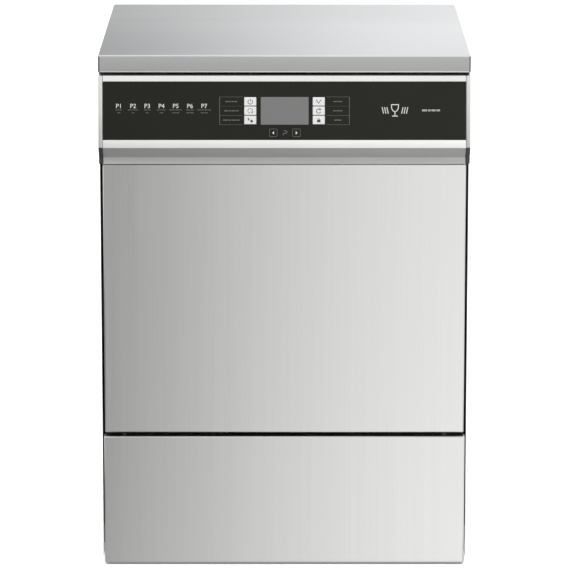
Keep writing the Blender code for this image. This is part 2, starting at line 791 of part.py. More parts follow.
def key_box(x, down, wide, high, depths):
    """A box in the leaning face's own axes, centred x across and down from the fascia's top edge."""
    z = -(FASCIA_START + down)
    return (x - wide / 2, depths[0], z - high / 2), (x + wide / 2, depths[1], z + high / 2)


KEYS = {
    "power_key": (KEY_COLUMNS[0], 0),
    "cycle_key": (KEY_COLUMNS[0], 1),
    "start_key": (KEY_COLUMNS[0], 2),
    "confirm_key": (KEY_COLUMNS[1], 0),
    "repeat_key": (KEY_COLUMNS[1], 1),
    "lock_key": (KEY_COLUMNS[1], 2),
}
ARROWS = {"previous_key": ARROW_COLUMNS[0], "next_key": ARROW_COLUMNS[1]}


def make_controls():
    depths = (0.0, FASCIA_THICK)
    middle = FASCIA_LENGTH / 2
    plate_box = key_box(0, middle, 2 * FASCIA_HALF, FASCIA_LENGTH, depths)
    fascia = add_object("control_fascia", box(*plate_box), face_frame, BLACK)
    through = (-0.002, FASCIA_THICK + 0.002)
    display_down = KEY_FIRST + KEY_PITCH
    wide, high = DISPLAY_WIDE + 2 * GAP, DISPLAY_HIGH + 2 * GAP
    holes = box(*key_box(DISPLAY_X, display_down, wide, high, through))
    places = {name: (x, KEY_FIRST + row * KEY_PITCH, KEY_WIDE, KEY_HIGH) for name, (x, row) in KEYS.items()}
    places.update({name: (x, ARROW_DOWN, ARROW_SIDE, ARROW_SIDE) for name, x in ARROWS.items()})
    for name, (x, down, wide, high) in places.items():
        box(*key_box(x, down, wide + GAP, high + GAP, through), holes)
        finish = BLACK if name in ARROWS else KEY_WHITE
        shape = box(*key_box(x, down, wide - GAP, high - GAP, (-GAP, KEY_THICK)))
        bevel(add_object(name, shape, face_frame, finish), 0.0006)
    cut(fascia, holes)
    glass = box(*key_box(DISPLAY_X, display_down, DISPLAY_WIDE, DISPLAY_HIGH, (0.0001, 0.0018)))
    add_object("display_window", glass, face_frame, DISPLAY)
    board_depth = KEY_THICK + KEY_TRAVEL + 0.0015
    board = box(*key_box(0, 0.050, 0.240, 0.082, (board_depth, board_depth + 0.0016)))
    add_object("control_board", board, face_frame, BOARD)


def make_lock():
    lock = add_object(
        "door_lock", box((-0.035, -0.2735, 0.8020), (0.035, LINER_FRONT - 0.0005, 0.8160)), door_axis, DARK
    )
    cut(lock, box((-0.0125, -0.2640, 0.8062), (0.0125, -0.240, 0.8138)))


# ---------------------------------------------------------------- racks


def basket(half, low):
    """The floor and four walls of a rack as a grid of quads, whose edges become wires."""
    across, along, rows = 6, 6, 2
    xs = [-half + 2 * half * i / across for i in range(across + 1)]
    ys = [RACK_FRONT + (RACK_BACK - RACK_FRONT) * j / along for j in range(along + 1)]
    zs = [low + RACK_HIGH * k / rows for k in range(rows + 1)]
    shape = bmesh.new()

    def quad(*points):
        shape.faces.new([shape.verts.new(p) for p in points])

    for x0, x1 in zip(xs, xs[1:]):
        for y0, y1 in zip(ys, ys[1:]):
            quad((x0, y0, low), (x1, y0, low), (x1, y1, low), (x0, y1, low))
        for z0, z1 in zip(zs, zs[1:]):
            for y in (RACK_FRONT, RACK_BACK):
                quad((x0, y, z0), (x1, y, z0), (x1, y, z1), (x0, y, z1))
    for y0, y1 in zip(ys, ys[1:]):
        for z0, z1 in zip(zs, zs[1:]):
            for x in (-half, half):
                quad((x, y0, z0), (x, y1, z0), (x, y1, z1), (x, y0, z1))
    bmesh.ops.remove_doubles(shape, verts=shape.verts, dist=0.0001)
    return shape


def make_rack(name, half, low, parent):
    rack = add_object(name, basket(half, low), parent, COATED)
    wires = rack.modifiers.new("wires", "WIREFRAME")
    wires.thickness = WIRE
    wires.offset = 0
    wires.use_boundary = True
    wires.use_replace = True
    wires.use_even_offset = True
    return rack


def make_racks():
    make_rack("lower_rack", LOWER_RACK_HALF, LOWER_RACK_Z, lower_slide)
    upper = make_rack("upper_rack", UPPER_RACK_HALF, UPPER_RACK_Z, upper_slide)
    bar_low = (UPPER_RACK_HALF - WIRE / 8, RACK_FRONT + WIRE / 8, SLIDE_Z - 0.0065)
    join(upper, both_sides(bar_low, (0.2620, RACK_BACK - WIRE / 8, SLIDE_Z + 0.0065)))


# ---------------------------------------------------------------- the machine

make_worktop()
make_side_panel("side_panel_left", -1)
make_side_panel("side_panel_right", 1)
make_rear_panel()
make_base()
make_kick_panel()
make_crossrail()
make_tub()
make_sump()
make_heater()
make_water_paths()
make_runners()
make_machinery()
make_hinges()
make_door_panels()
make_dispenser()
make_console()
make_controls()
make_lock()
make_racks()
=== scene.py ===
import json
import math

import bmesh
import bpy
from mathutils import Matrix, Vector


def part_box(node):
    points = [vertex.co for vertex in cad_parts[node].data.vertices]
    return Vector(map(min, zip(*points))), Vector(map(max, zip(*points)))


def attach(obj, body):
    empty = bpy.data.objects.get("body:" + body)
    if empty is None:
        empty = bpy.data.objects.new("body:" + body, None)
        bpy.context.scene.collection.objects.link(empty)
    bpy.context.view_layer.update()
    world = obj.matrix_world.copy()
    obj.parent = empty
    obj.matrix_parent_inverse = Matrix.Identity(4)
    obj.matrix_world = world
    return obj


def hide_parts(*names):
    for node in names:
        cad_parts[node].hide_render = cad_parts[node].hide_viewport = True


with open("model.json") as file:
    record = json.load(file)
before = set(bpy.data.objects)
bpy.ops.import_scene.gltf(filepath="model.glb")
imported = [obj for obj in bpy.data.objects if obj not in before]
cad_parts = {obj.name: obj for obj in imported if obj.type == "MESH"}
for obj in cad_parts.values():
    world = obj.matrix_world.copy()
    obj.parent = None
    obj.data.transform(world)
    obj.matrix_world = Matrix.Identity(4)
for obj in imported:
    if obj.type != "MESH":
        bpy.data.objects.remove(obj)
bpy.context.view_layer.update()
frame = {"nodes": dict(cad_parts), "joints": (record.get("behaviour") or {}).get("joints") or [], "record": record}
NODES = frame["nodes"]
BODY_OF = {node: body for body, nodes in frame["record"]["behaviour"]["bodies"].items() for node in nodes}
SLOT_OF = {part["node"]: part["material_slot"] for part in frame["record"]["subparts"]}

# ------------ material helpers


def blank(name):
    made = bpy.data.materials.new(name)
    made.use_nodes = True
    return made, made.node_tree, made.node_tree.nodes["Principled BSDF"]


def add_node(tree, kind, inputs=None, **settings):
    made = tree.nodes.new(kind)
    for key, value in settings.items():
        setattr(made, key, value)
    for key, value in (inputs or {}).items():
        made.inputs[key].default_value = value
    return made


def noise(tree, features, detail=3.0, roughness=0.55):
    """Noise whose features per metre are given along x, y and z, read in the frame's own metres."""
    place = add_node(tree, "ShaderNodeTexCoord")
    scaled = add_node(tree, "ShaderNodeMapping", {"Scale": features})
    tree.links.new(place.outputs["Object"], scaled.inputs["Vector"])
    made = add_node(tree, "ShaderNodeTexNoise", {"Scale": 1.0, "Detail": detail, "Roughness": roughness})
    tree.links.new(scaled.outputs["Vector"], made.inputs["Vector"])
    return made.outputs["Fac"]


def remap(tree, value, low, high, low_in=0.3, high_in=0.7):
    made = add_node(
        tree, "ShaderNodeMapRange", {"From Min": low_in, "From Max": high_in, "To Min": low, "To Max": high}
    )
    tree.links.new(value, made.inputs["Value"])
    return made.outputs["Result"]


MIX_FACTOR, MIX_A, MIX_B, MIX_RESULT = 0, 6, 7, 2  # a Mix node's colour sockets, whose names repeat


def blend_colour(tree, factor, dark, light):
    colours = {MIX_A: (*dark, 1), MIX_B: (*light, 1)}
    made = add_node(tree, "ShaderNodeMix", colours, data_type="RGBA")
    tree.links.new(factor, made.inputs[MIX_FACTOR])
    return made.outputs[MIX_RESULT]


def add_bump(tree, shader, value, strength, distance):
    made = add_node(tree, "ShaderNodeBump", {"Strength": strength, "Distance": distance})
    tree.links.new(value, made.inputs["Height"])
    tree.links.new(made.outputs["Normal"], shader.inputs["Normal"])


def summed(tree, first, second, share):
    """first plus share times second."""
    made = add_node(tree, "ShaderNodeMath", operation="MULTIPLY_ADD")
    tree.links.new(second, made.inputs[0])
    made.inputs[1].default_value = share
    tree.links.new(first, made.inputs[2])
    return made.outputs["Value"]


# ------------ materials


def brushed_steel(name, grain, tone=0.62, rough=(0.27, 0.36), tint=(1.0, 1.0, 0.99), metallic=1.0):
    """Sheet steel with a brushed grain. grain is the direction of the brushing: x, y or z."""
    made, tree, shader = blank(name)
    hair_along, hair_across = 1.6, 420.0
    streak_along, streak_across = 0.9, 46.0
    hairs = [hair_along if axis == grain else hair_across for axis in "xyz"]
    streaks = [streak_along if axis == grain else streak_across for axis in "xyz"]
    hair = noise(tree, hairs, detail=4.0, roughness=0.7)
    streak = noise(tree, streaks, detail=3.0, roughness=0.6)
    mixed = summed(tree, hair, streak, 0.5)
    light = tuple(tone * 1.035 * c for c in tint)
    dark = tuple(tone * 0.965 * c for c in tint)
    share = remap(tree, mixed, 0, 1, 0.5, 1.0)
    tree.links.new(blend_colour(tree, share, dark, light), shader.inputs["Base Color"])
    tree.links.new(remap(tree, mixed, *rough, 0.5, 1.0), shader.inputs["Roughness"])
    shader.inputs["Metallic"].default_value = metallic
    add_bump(tree, shader, hair, 0.10, 0.00006)
    return made


def pressed_steel(name, tone=0.66, rough=(0.16, 0.30)):
    """Bright drawn sheet with soft cloudy wear and a fine speckle."""
    made, tree, shader = blank(name)
    cloud = noise(tree, (9.0, 9.0, 9.0), detail=2.0, roughness=0.45)
    specks = noise(tree, (900.0, 900.0, 900.0), detail=2.0)
    dark, light = (tone * 0.93,) * 3, (tone * 1.04,) * 3
    tree.links.new(blend_colour(tree, remap(tree, cloud, 0, 1), dark, light), shader.inputs["Base Color"])
    worn = summed(tree, cloud, specks, 0.3)
    tree.links.new(remap(tree, worn, *rough, 0.4, 0.9), shader.inputs["Roughness"])
    shader.inputs["Metallic"].default_value = 1.0
    add_bump(tree, shader, specks, 0.05, 0.00004)
    return made


def plastic(name, colour, rough=(0.32, 0.46), vary=0.10, grain=900.0, bump=0.05, gloss=0.5):
    """Moulded plastic with a fine spark-eroded grain and slight clouding."""
    made, tree, shader = blank(name)
    cloud = noise(tree, (14.0, 14.0, 14.0), detail=3.0)
    skin = noise(tree, (grain, grain, grain), detail=2.0)
    dark = tuple(c * (1 - vary) for c in colour)
    light = tuple(min(1.0, c * (1 + vary)) for c in colour)
    tree.links.new(blend_colour(tree, remap(tree, cloud, 0, 1), dark, light), shader.inputs["Base Color"])
    worn = summed(tree, skin, cloud, 0.4)
    tree.links.new(remap(tree, worn, *rough, 0.45, 0.95), shader.inputs["Roughness"])
    shader.inputs["Specular IOR Level"].default_value = gloss
    add_bump(tree, shader, skin, bump, 0.0001)
    return made


def zinc_plate(name):
    """Zinc-plated sheet with its crystal spangle."""
    made, tree, shader = blank(name)
    place = add_node(tree, "ShaderNodeTexCoord")
    cells = add_node(tree, "ShaderNodeTexVoronoi", {"Scale": 120.0, "Randomness": 1.0})
    tree.links.new(place.outputs["Object"], cells.inputs["Vector"])
    grey = add_node(tree, "ShaderNodeRGBToBW")
    tree.links.new(cells.outputs["Color"], grey.inputs["Color"])
    dark, light = (0.47, 0.48, 0.50), (0.54, 0.55, 0.57)
    share = remap(tree, grey.outputs["Val"], 0, 1, 0.2, 0.8)
    tree.links.new(blend_colour(tree, share, dark, light), shader.inputs["Base Color"])
    tree.links.new(remap(tree, grey.outputs["Val"], 0.34, 0.52, 0.2, 0.8), shader.inputs["Roughness"])
    shader.inputs["Metallic"].default_value = 1.0
    return made


MATERIALS = {
    "brushed_steel": brushed_steel("front_steel", "z"),
    "worktop_steel": brushed_steel("worktop_steel", "x", tint=(0.99, 1.0, 1.015)),
    "pressed_steel": pressed_steel("pressed_steel"),
    "zinc_plate": zinc_plate("zinc_plate"),
}
PLASTICS = {
    "silver_profile": ((0.84, 0.84, 0.83), {"rough": (0.34, 0.44), "vary": 0.02, "bump": 0.02}),
    "cap_grey": ((0.62, 0.62, 0.61), {"rough": (0.38, 0.50), "vary": 0.04}),
    "black_fascia": ((0.0103, 0.0107, 0.0076), {"rough": (0.44, 0.54), "gloss": 0.22}),
    "key_white": ((0.82, 0.82, 0.82), {"rough": (0.36, 0.48), "vary": 0.02}),
    "display_grey": ((0.20, 0.20, 0.198), {"rough": (0.24, 0.30), "vary": 0.02, "bump": 0.0, "gloss": 0.3}),
    "circuit_board": ((0.02, 0.16, 0.06), {}),
    "black_rubber": ((0.03, 0.03, 0.03), {"rough": (0.6, 0.8), "bump": 0.15, "grain": 500.0}),
    "dark_plastic": ((0.06, 0.06, 0.065), {"rough": (0.42, 0.58)}),
    "pale_plastic": ((0.70, 0.71, 0.72), {"rough": (0.38, 0.52), "vary": 0.04}),
    "damping_felt": ((0.10, 0.10, 0.10), {"rough": (0.8, 0.95), "vary": 0.3, "bump": 0.4, "grain": 300.0}),
    "coated_wire": ((0.50, 0.53, 0.55), {"rough": (0.30, 0.42), "vary": 0.05}),
    "filler_board": ((0.50, 0.38, 0.24), {"rough": (0.7, 0.9), "vary": 0.3, "grain": 200.0, "bump": 0.4}),
}
MATERIALS.update({name: plastic(name, colour, **finish) for name, (colour, finish) in PLASTICS.items()})
INK_ROUGH = (0.45, 0.55)
PRINT_WHITE = plastic("print_white", (0.80, 0.80, 0.79), INK_ROUGH, vary=0.03)
PRINT_PALE = plastic("print_pale", (0.42, 0.42, 0.41), INK_ROUGH, vary=0.05)
PRINT_GREY = plastic("print_grey", (0.16, 0.16, 0.155), INK_ROUGH, vary=0.05)
PRINT_DIM = plastic("print_dim", (0.075, 0.075, 0.072), INK_ROUGH, vary=0.05)
PRINT_DARK = plastic("print_dark", (0.035, 0.035, 0.035), INK_ROUGH, vary=0.05)
# the worktop's folded front corners: a dark copy of the steel, painted shade down each corner
CORNER_SHADE_STEEL = brushed_steel("corner_shade_steel", "z", tone=0.16, rough=(0.45, 0.55))
# the worktop's flat front: a darker, partly matt copy of the steel, painted shade for the even grey the light
# gives that face
FRONT_SHADE_STEEL = brushed_steel("front_shade_steel", "x", tone=0.455, rough=(0.62, 0.72), metallic=0.30)

OWN_FINISH = {"worktop_skin": "worktop_steel", "previous_key": "black_fascia", "next_key": "black_fascia"}


def finish_of(node_name):
    return MATERIALS[OWN_FINISH.get(node_name, SLOT_OF[node_name])]


for node_name, node_object in NODES.items():
    node_object.data.materials.clear()
    node_object.data.materials.append(finish_of(node_name))

# ------------ shape helpers


def round_points(count, radius, x=0.0, y=0.0):
    angles = [math.tau * k / count for k in range(count)]
    return [(x + radius * math.cos(a), y + radius * math.sin(a)) for a in angles]


def add_prism(shape, outline, axis, start, end):
    """Extrudes an outline along an axis. Its points are (y, z) for X, (x, z) for Y and (x, y) for Z."""

    def at(point, along):
        a, b = point
        return {"X": (along, a, b), "Y": (a, along, b), "Z": (a, b, along)}[axis]

    first = [shape.verts.new(at(p, start)) for p in outline]
    last = [shape.verts.new(at(p, end)) for p in outline]
    shape.faces.new(first)
    shape.faces.new(list(reversed(last)))
    for i in range(len(outline)):
        j = (i + 1) % len(outline)
        shape.faces.new((first[i], first[j], last[j], last[i]))


def add_box(shape, low, high):
    (x0, y0, z0), (x1, y1, z1) = low, high
    add_prism(shape, [(x0, y0), (x1, y0), (x1, y1), (x0, y1)], "Z", z0, z1)


def join_rings(shape, rings, closed=False, caps=True):
    """Bridges rings of vertices. A ring of one vertex is a tip."""
    pairs = list(zip(rings, rings[1:]))
    if closed:
        pairs.append((rings[-1], rings[0]))
    for here, after in pairs:
        count = max(len(here), len(after))
        for k in range(count):
            n = (k + 1) % count
            around = [ring[i % len(ring)] for ring, i in ((here, k), (here, n), (after, n), (after, k))]
            face = list(dict.fromkeys(around))
            if len(face) > 2:
                shape.faces.new(face)
    if caps and not closed:
        for ring in (rings[0], rings[-1]):
            if len(ring) > 2:
                shape.faces.new(ring)


def add_turned(shape, profile, axis, centre, steps=32, closed=False):
    """Turns a profile of (radius, height) points about an axis through centre."""
    cx, cy, cz = centre

    def at(radius, height, angle):
        a, b = radius * math.cos(angle), radius * math.sin(angle)
        return {
            "X": (cx + height, cy + a, cz + b),
            "Y": (cx + a, cy + height, cz + b),
            "Z": (cx + a, cy + b, cz + height),
        }[axis]

    rings = []
    for radius, height in profile:
        count = 1 if radius == 0 else steps
        rings.append([shape.verts.new(at(radius, height, math.tau * k / steps)) for k in range(count)])
    join_rings(shape, rings, closed)


def add_wire(shape, points, radius, sides=8, closed=False):
    """A round wire through the points."""
    path = [Vector(p) for p in points]
    rings = []
    across = None
    for i, point in enumerate(path):
        before = path[i - 1] if i or closed else point
        after = path[(i + 1) % len(path)] if i + 1 < len(path) or closed else point
        along = ((point - before).normalized() + (after - point).normalized()).normalized()
        across = along.orthogonal() if across is None else across - along * across.dot(along)
        across.normalize()
        other = along.cross(across)
        turns = [math.tau * k / sides for k in range(sides)]
        ring = [point + (across * math.cos(a) + other * math.sin(a)) * radius for a in turns]
        rings.append([shape.verts.new(p) for p in ring])
    if closed:
        # The last ring may have turned round the wire, so the first is started where it fits best.
        ends = [(rings[-1][0].co - v.co).length for v in rings[0]]
        turned = ends.index(min(ends))
        rings.append(rings[0][turned:] + rings[0][:turned])
    join_rings(shape, rings, caps=not closed)


def rounded(points, radius, closed=False, steps=4):
    """The same route with its corners rounded off."""
    path = [Vector(p) for p in points]
    out = []
    for i, point in enumerate(path):
        if not closed and i in (0, len(path) - 1):
            out.append(point)
            continue
        before, after = path[i - 1], path[(i + 1) % len(path)]
        reach = min(radius, (before - point).length * 0.49, (after - point).length * 0.49)
        start = point + (before - point).normalized() * reach
        end = point + (after - point).normalized() * reach
        for k in range(steps + 1):
            t = k / steps
            out.append(start * (1 - t) ** 2 + point * 2 * t * (1 - t) + end * t**2)
    return out


def add_screw(shape, at, outward, radius=0.0040, proud=0.0018):
    """A pan head with a cross-shaped recess."""
    turn = Vector(outward).to_track_quat("Z", "Y").to_matrix()
    angles = [math.tau * k / 24 for k in range(24)]
    rings = []

    def ring(height, size):
        place = [(size(a) * math.cos(a), size(a) * math.sin(a)) for a in angles]
        rings.append([shape.verts.new(Vector(at) + turn @ Vector((x, y, height))) for x, y in place])

    def cross(angle):
        return 0.30 + 0.70 * abs(math.cos(2 * angle)) ** 1.5

    for share, height in ((1.0, -0.0002), (1.0, 0.35 * proud), (0.90, 0.70 * proud), (0.66, 0.95 * proud)):
        ring(height, lambda angle, share=share: share * radius)
    for share, height in ((0.56, proud), (0.52, 0.80 * proud), (0.30, 0.30 * proud)):
        ring(height, lambda angle, share=share: share * radius * cross(angle))
    join_rings(shape, rings)


# ------------ piece helpers


SHARP = 40  # degrees between two faces that meet in an edge


def mesh_piece(name, shape, body, slot, smooth=SHARP, material=None):
    """A piece from a built shape, in its slot's material unless another is given."""
    bmesh.ops.recalc_face_normals(shape, faces=shape.faces)
    mesh = bpy.data.meshes.new(name)
    shape.to_mesh(mesh)
    shape.free()
    mesh.materials.append(material or MATERIALS[slot])
    if smooth:
        mesh.shade_smooth()
        mesh.set_sharp_from_angle(angle=math.radians(smooth))
    made = bpy.data.objects.new(name, mesh)
    bpy.context.scene.collection.objects.link(made)
    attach(made, body)
    return made


def soften(piece, width):
    edge = piece.modifiers.new("edge", "BEVEL")
    edge.width = width
    edge.segments = 2
    edge.limit_method = "ANGLE"
    edge.angle_limit = math.radians(SHARP)
    edge.harden_normals = True


def refine(node_name, width=0.0004, others=(), which=None):
    """A finer copy of a CAD node in its place: merged faces, softened sharp edges and smooth curves.

    which() picks each face's finish: 0 for the node's own, 1 for the first of the others and so on.
    """
    shape = bmesh.new()
    shape.from_mesh(NODES[node_name].data)
    bmesh.ops.remove_doubles(shape, verts=shape.verts, dist=1e-6)
    bmesh.ops.dissolve_limit(shape, angle_limit=math.radians(0.5), verts=shape.verts, edges=shape.edges)
    if others:
        for face in shape.faces:
            face.material_index = which(face)
    body, slot = BODY_OF[node_name], SLOT_OF[node_name]
    made = mesh_piece(f"{node_name}_fine", shape, body, slot, material=finish_of(node_name))
    for other in others:
        made.data.materials.append(other)
    soften(made, width)
    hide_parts(node_name)


def refine_all(width, node_names):
    for node_name in node_names.split():
        refine(node_name, width)


# ------------ the console's face

key_axis = next(j["axis"] for j in frame["joints"] if j["name"] == "power_key_press")
LEAN = math.atan2(-key_axis[2], key_axis[1])
fascia_low, fascia_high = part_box("control_fascia")
tall, deep = fascia_high.z - fascia_low.z, fascia_high.y - fascia_low.y
SIN, COS = math.sin(LEAN), math.cos(LEAN)
FASCIA_LENGTH = (tall * COS - deep * SIN) / (COS**2 - SIN**2)
face_top = Vector((0, fascia_low.y + FASCIA_LENGTH * SIN, fascia_high.z))
# x across, y into the console and z up the face, from the middle of the fascia's top edge
FACE = Matrix.Translation(face_top) @ Matrix.Rotation(-LEAN, 4, "X")
PRINT_LIFT = 0.00004
PRINT_THICK = 0.00006
KEY_LIFT = 0.00034  # the keys' fronts stand a little proud of the fascia


class Print:
    """Flat printed shapes on the leaning face, given by points (across, down) from its top middle."""

    def __init__(self, centre=(0, 0), lift=PRINT_LIFT):
        self.shape = bmesh.new()
        self.centre = centre
        self.lift = lift

    def patch(self, outline):
        x0, down0 = self.centre
        near, far = -self.lift, -self.lift - PRINT_THICK
        back = [self.shape.verts.new(FACE @ Vector((x0 + x, near, -down0 - down))) for x, down in outline]
        front = [self.shape.verts.new(FACE @ Vector((x0 + x, far, -down0 - down))) for x, down in outline]
        join_rings(self.shape, [back, front])

    def bar(self, x, down, wide, high):
        w, h = wide / 2, high / 2
        self.patch([(x - w, down - h), (x + w, down - h), (x + w, down + h), (x - w, down + h)])

    def stroke(self, points, width):
        """A line through points, with mitred corners."""
        path = [Vector(p) for p in points]
        sides = []
        for i, point in enumerate(path):
            before = point - path[i - 1] if i else path[1] - point
            after = path[i + 1] - point if i + 1 < len(path) else before
            across = (before.normalized() + after.normalized()).normalized().orthogonal()
            reach = width / 2 / max(0.5, abs(across.dot(before.normalized().orthogonal())))
            sides.append((point + across * reach, point - across * reach))
        for (a, b), (c, d) in zip(sides, sides[1:]):
            self.patch([a, c, d, b])

    def arc(self, x, down, radius, start, end, width, steps=18):
        """An arc with its angles in degrees from the right, turning upwards."""
        turns = [math.radians(start + (end - start) * k / steps) for k in range(steps + 1)]
        self.stroke([(x + radius * math.cos(a), down - radius * math.sin(a)) for a in turns], width)

    def disc(self, x, down, radius, steps=20):
        self.patch([(x + a, down - b) for a, b in round_points(steps, radius)])

    def words(self, text, x, down, size):
        """Generic programme numbers."""
        curve = bpy.data.curves.new("words", "FONT")
        curve.body = text
        curve.size = size
        curve.align_x = "CENTER"
        curve.align_y = "CENTER"
        curve.extrude = PRINT_THICK / 2
        curve.resolution_u = 3
        holder = bpy.data.objects.new("words", curve)
        bpy.context.scene.collection.objects.link(holder)
        mesh = holder.to_mesh()
        place = Matrix.Translation((x, -self.lift - PRINT_THICK / 2, -down))
        mesh.transform(FACE @ place @ Matrix.Rotation(math.pi / 2, 4, "X"))
        self.shape.from_mesh(mesh)
        holder.to_mesh_clear()
        bpy.data.objects.remove(holder, do_unlink=True)
        bpy.data.curves.remove(curve)

    def dashes(self, x, down, wide, high):
        """Short marks of uneven length, where small words would be."""
        shares = [1.0] if wide < 0.007 else [0.55, 0.45] if wide < 0.013 else [0.34, 0.16, 0.27, 0.23]
        gap = 0.05 * wide
        solid = wide - gap * (len(shares) - 1)
        left = x - wide / 2
        for share in shares:
            self.bar(left + solid * share / 2, down, solid * share, high)
            left += solid * share + gap

    def finish(self, name, material, body, slot):
        mesh_piece(name, self.shape, body, slot, 0, material)


def face_place(node):
    """Where a node's middle is on the leaning face, as (across, down)."""
    low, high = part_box(node)
    middle = FACE.inverted() @ ((low + high) / 2)
    return middle.x, -middle.z


PROGRAMME_START = -0.2665
PROGRAMME_STEP = 0.0229
PROGRAMME_DOWN = 0.0395
PROGRAMME_SIZE = 0.0100
# each programme's two rows of dashes, in mm
NOTE_WIDTHS = [(10.0, 5.0), (16.5, 3.6), (11.0, 5.0), (14.0, 5.6), (20.5, 11.0), (12.5, 11.5), (21.5, 11.4)]
NOTE_DOWN = (0.0060, 0.0106)
NOTE_HIGH = 0.0009
TABLE_LINE = 0.0007
TABLE_HAIRLINE = 0.0003
TABLE_GAP = 0.0020  # from the keys to the table
TABLE_REACH = 0.0375  # from there to its outer line
TABLE_NOTES = {"left": (0.0185, 0.0230, 0.0265), "right": (0.0140, 0.0147, 0.0114)}
TABLE_NOTE_HIGH = 0.0014


def print_programmes():
    white, grey = Print(), Print()
    for k, widths in enumerate(NOTE_WIDTHS):
        x = PROGRAMME_START + PROGRAMME_STEP * k
        white.words(f"P{k + 1}", x, PROGRAMME_DOWN, PROGRAMME_SIZE)
        for wide, down in zip(widths, NOTE_DOWN):
            grey.dashes(x, PROGRAMME_DOWN + down, wide * 0.001, NOTE_HIGH)
    white.finish("programme_numbers", PRINT_WHITE, "door", "key_white")
    grey.finish("programme_notes", PRINT_GREY, "door", "cap_grey")


def print_tables():
    outer, inner = Print(), Print()
    rows = [face_place(name)[1] for name in ("power_key", "cycle_key", "start_key")]
    step = rows[1] - rows[0]
    top, bottom = rows[0] - step / 2, rows[2] + step / 2
    for hand, side, key in (("left", -1, "power_key"), ("right", 1, "confirm_key")):
        low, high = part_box(key)
        near = side * (max(abs(low.x), abs(high.x)) + TABLE_GAP)
        far = near + side * TABLE_REACH
        inside = far - side * TABLE_LINE / 2
        outer.stroke([(far, top), (far, bottom)], TABLE_LINE)
        for down in (top, bottom, rows[1] + step / 2):
            inner.stroke([(near, down), (inside, down)], TABLE_LINE)
        inner.stroke([(near, rows[0] + step / 2), (inside, rows[0] + step / 2)], TABLE_HAIRLINE)
        for wide, down in zip(TABLE_NOTES[hand], rows):
            outer.dashes((near + far) / 2, down, wide, TABLE_NOTE_HIGH)
    outer.finish("table_edges", PRINT_GREY, "door", "cap_grey")
    inner.finish("table_lines", PRINT_DIM, "door", "cap_grey")


def print_glass_sign():
    """A plain sign of a stemmed glass between two sprays, and a row of dashes beside it."""
    sign_down = 0.0462
    sign = Print((0.178, sign_down))
    line = 0.0013
    bowl = [(-0.0058, -0.0092), (-0.0052, -0.0026), (-0.0028, 0.0010), (0, 0.0021)]
    sign.stroke(bowl, line)
    sign.stroke([(-x, down) for x, down in bowl], line)
    sign.stroke([(-0.0064, -0.0092), (0.0064, -0.0092)], line)
    sign.stroke([(0, 0.0019), (0, 0.0090)], line)
    sign.stroke([(-0.0046, 0.0092), (0.0046, 0.0092)], line)
    for x in (-0.0130, -0.0168, -0.0206):
        sign.stroke([(x, -0.0052), (x + 0.0022, 0.0052)], line)
        sign.stroke([(-x, -0.0052), (-x - 0.0022, 0.0052)], line)
    sign.finish("glass_sign", PRINT_WHITE, "door", "key_white")
    bar = Print((0.236, sign_down))
    bar.dashes(0, 0, 0.029, 0.0030)
    bar.finish("side_bar", PRINT_PALE, "door", "cap_grey")


def print_icon(key, draw, material=PRINT_DARK, ending="icon", slot="black_fascia"):
    icon = Print(face_place(key), KEY_LIFT)
    draw(icon)
    icon.finish(f"{key}_{ending}", material, BODY_OF[key], slot)


def power_icon(icon):
    icon.arc(0, 0.0004, 0.0038, 125, 415, 0.0010)
    icon.stroke([(0, -0.0044), (0, -0.0002)], 0.0010)


def cycle_icon(icon):
    for start in (8, 62, 116, 170, 224):
        icon.arc(0, 0, 0.0038, start, start + 36, 0.0010, steps=6)
    icon.patch([(0.0012, 0.0012), (0.0048, 0.0012), (0.0026, 0.0042)])


def start_icon(icon):
    icon.patch([(-0.0046, -0.0036), (-0.0036, -0.0040), (-0.0006, 0.0002), (-0.0030, 0.0006)])
    icon.disc(0.0022, 0.0018, 0.0021)


def confirm_icon(icon):
    icon.stroke([(-0.0040, -0.0028), (-0.0006, 0.0028), (0.0040, -0.0030)], 0.0010)


def repeat_icon(icon):
    icon.arc(-0.0002, 0.0004, 0.0034, 60, 340, 0.0010)
    icon.patch([(0.0010, -0.0046), (0.0042, -0.0026), (0.0010, -0.0006)])


def lock_icon(icon):
    icon.bar(0, 0.0016, 0.0054, 0.0040)
    icon.arc(0, -0.0004, 0.0018, 0, 180, 0.0009)


def arrow_outline(icon):
    half, corner, line = 0.0062, 0.0012, 0.0006
    turns = [(half - corner, half - corner, 0), (corner - half, half - corner, 90)]
    turns += [(corner - half, corner - half, 180), (half - corner, corner - half, 270)]
    points = []
    for x, up, start in turns:
        for k in range(4):
            angle = math.radians(start + 30 * k)
            points.append((x + corner * math.cos(angle), -up - corner * math.sin(angle)))
    icon.stroke(points + points[:2], line)


def arrow_mark(side):
    def draw(icon):
        icon.patch([(side * 0.0017, 0), (-side * 0.0012, -0.0026), (-side * 0.0012, 0.0026)])

    return draw


def print_controls():
    for key, draw in (
        ("power_key", power_icon),
        ("cycle_key", cycle_icon),
        ("start_key", start_icon),
        ("confirm_key", confirm_icon),
        ("repeat_key", repeat_icon),
        ("lock_key", lock_icon),
    ):
        print_icon(key, draw)
    for key, side in (("previous_key", -1), ("next_key", 1)):
        print_icon(key, arrow_outline, PRINT_GREY, "outline", "cap_grey")
        print_icon(key, arrow_mark(side), PRINT_WHITE, "mark", "key_white")
    down = face_place("next_key")[1]
    hook = Print((0.0010, down))
    hook.stroke([(-0.0032, 0.0040), (-0.0022, 0.0010), (0.0016, 0.0006), (0.0036, -0.0014)], 0.0010)
    hook.stroke([(0.0036, -0.0014), (0.0020, -0.0034), (-0.0022, -0.0030)], 0.0009)
    hook.finish("programme_hook", PRINT_GREY, "door", "cap_grey")


print_programmes()
print_tables()
print_glass_sign()
print_controls()

# ------------ finer copies of the sheet work


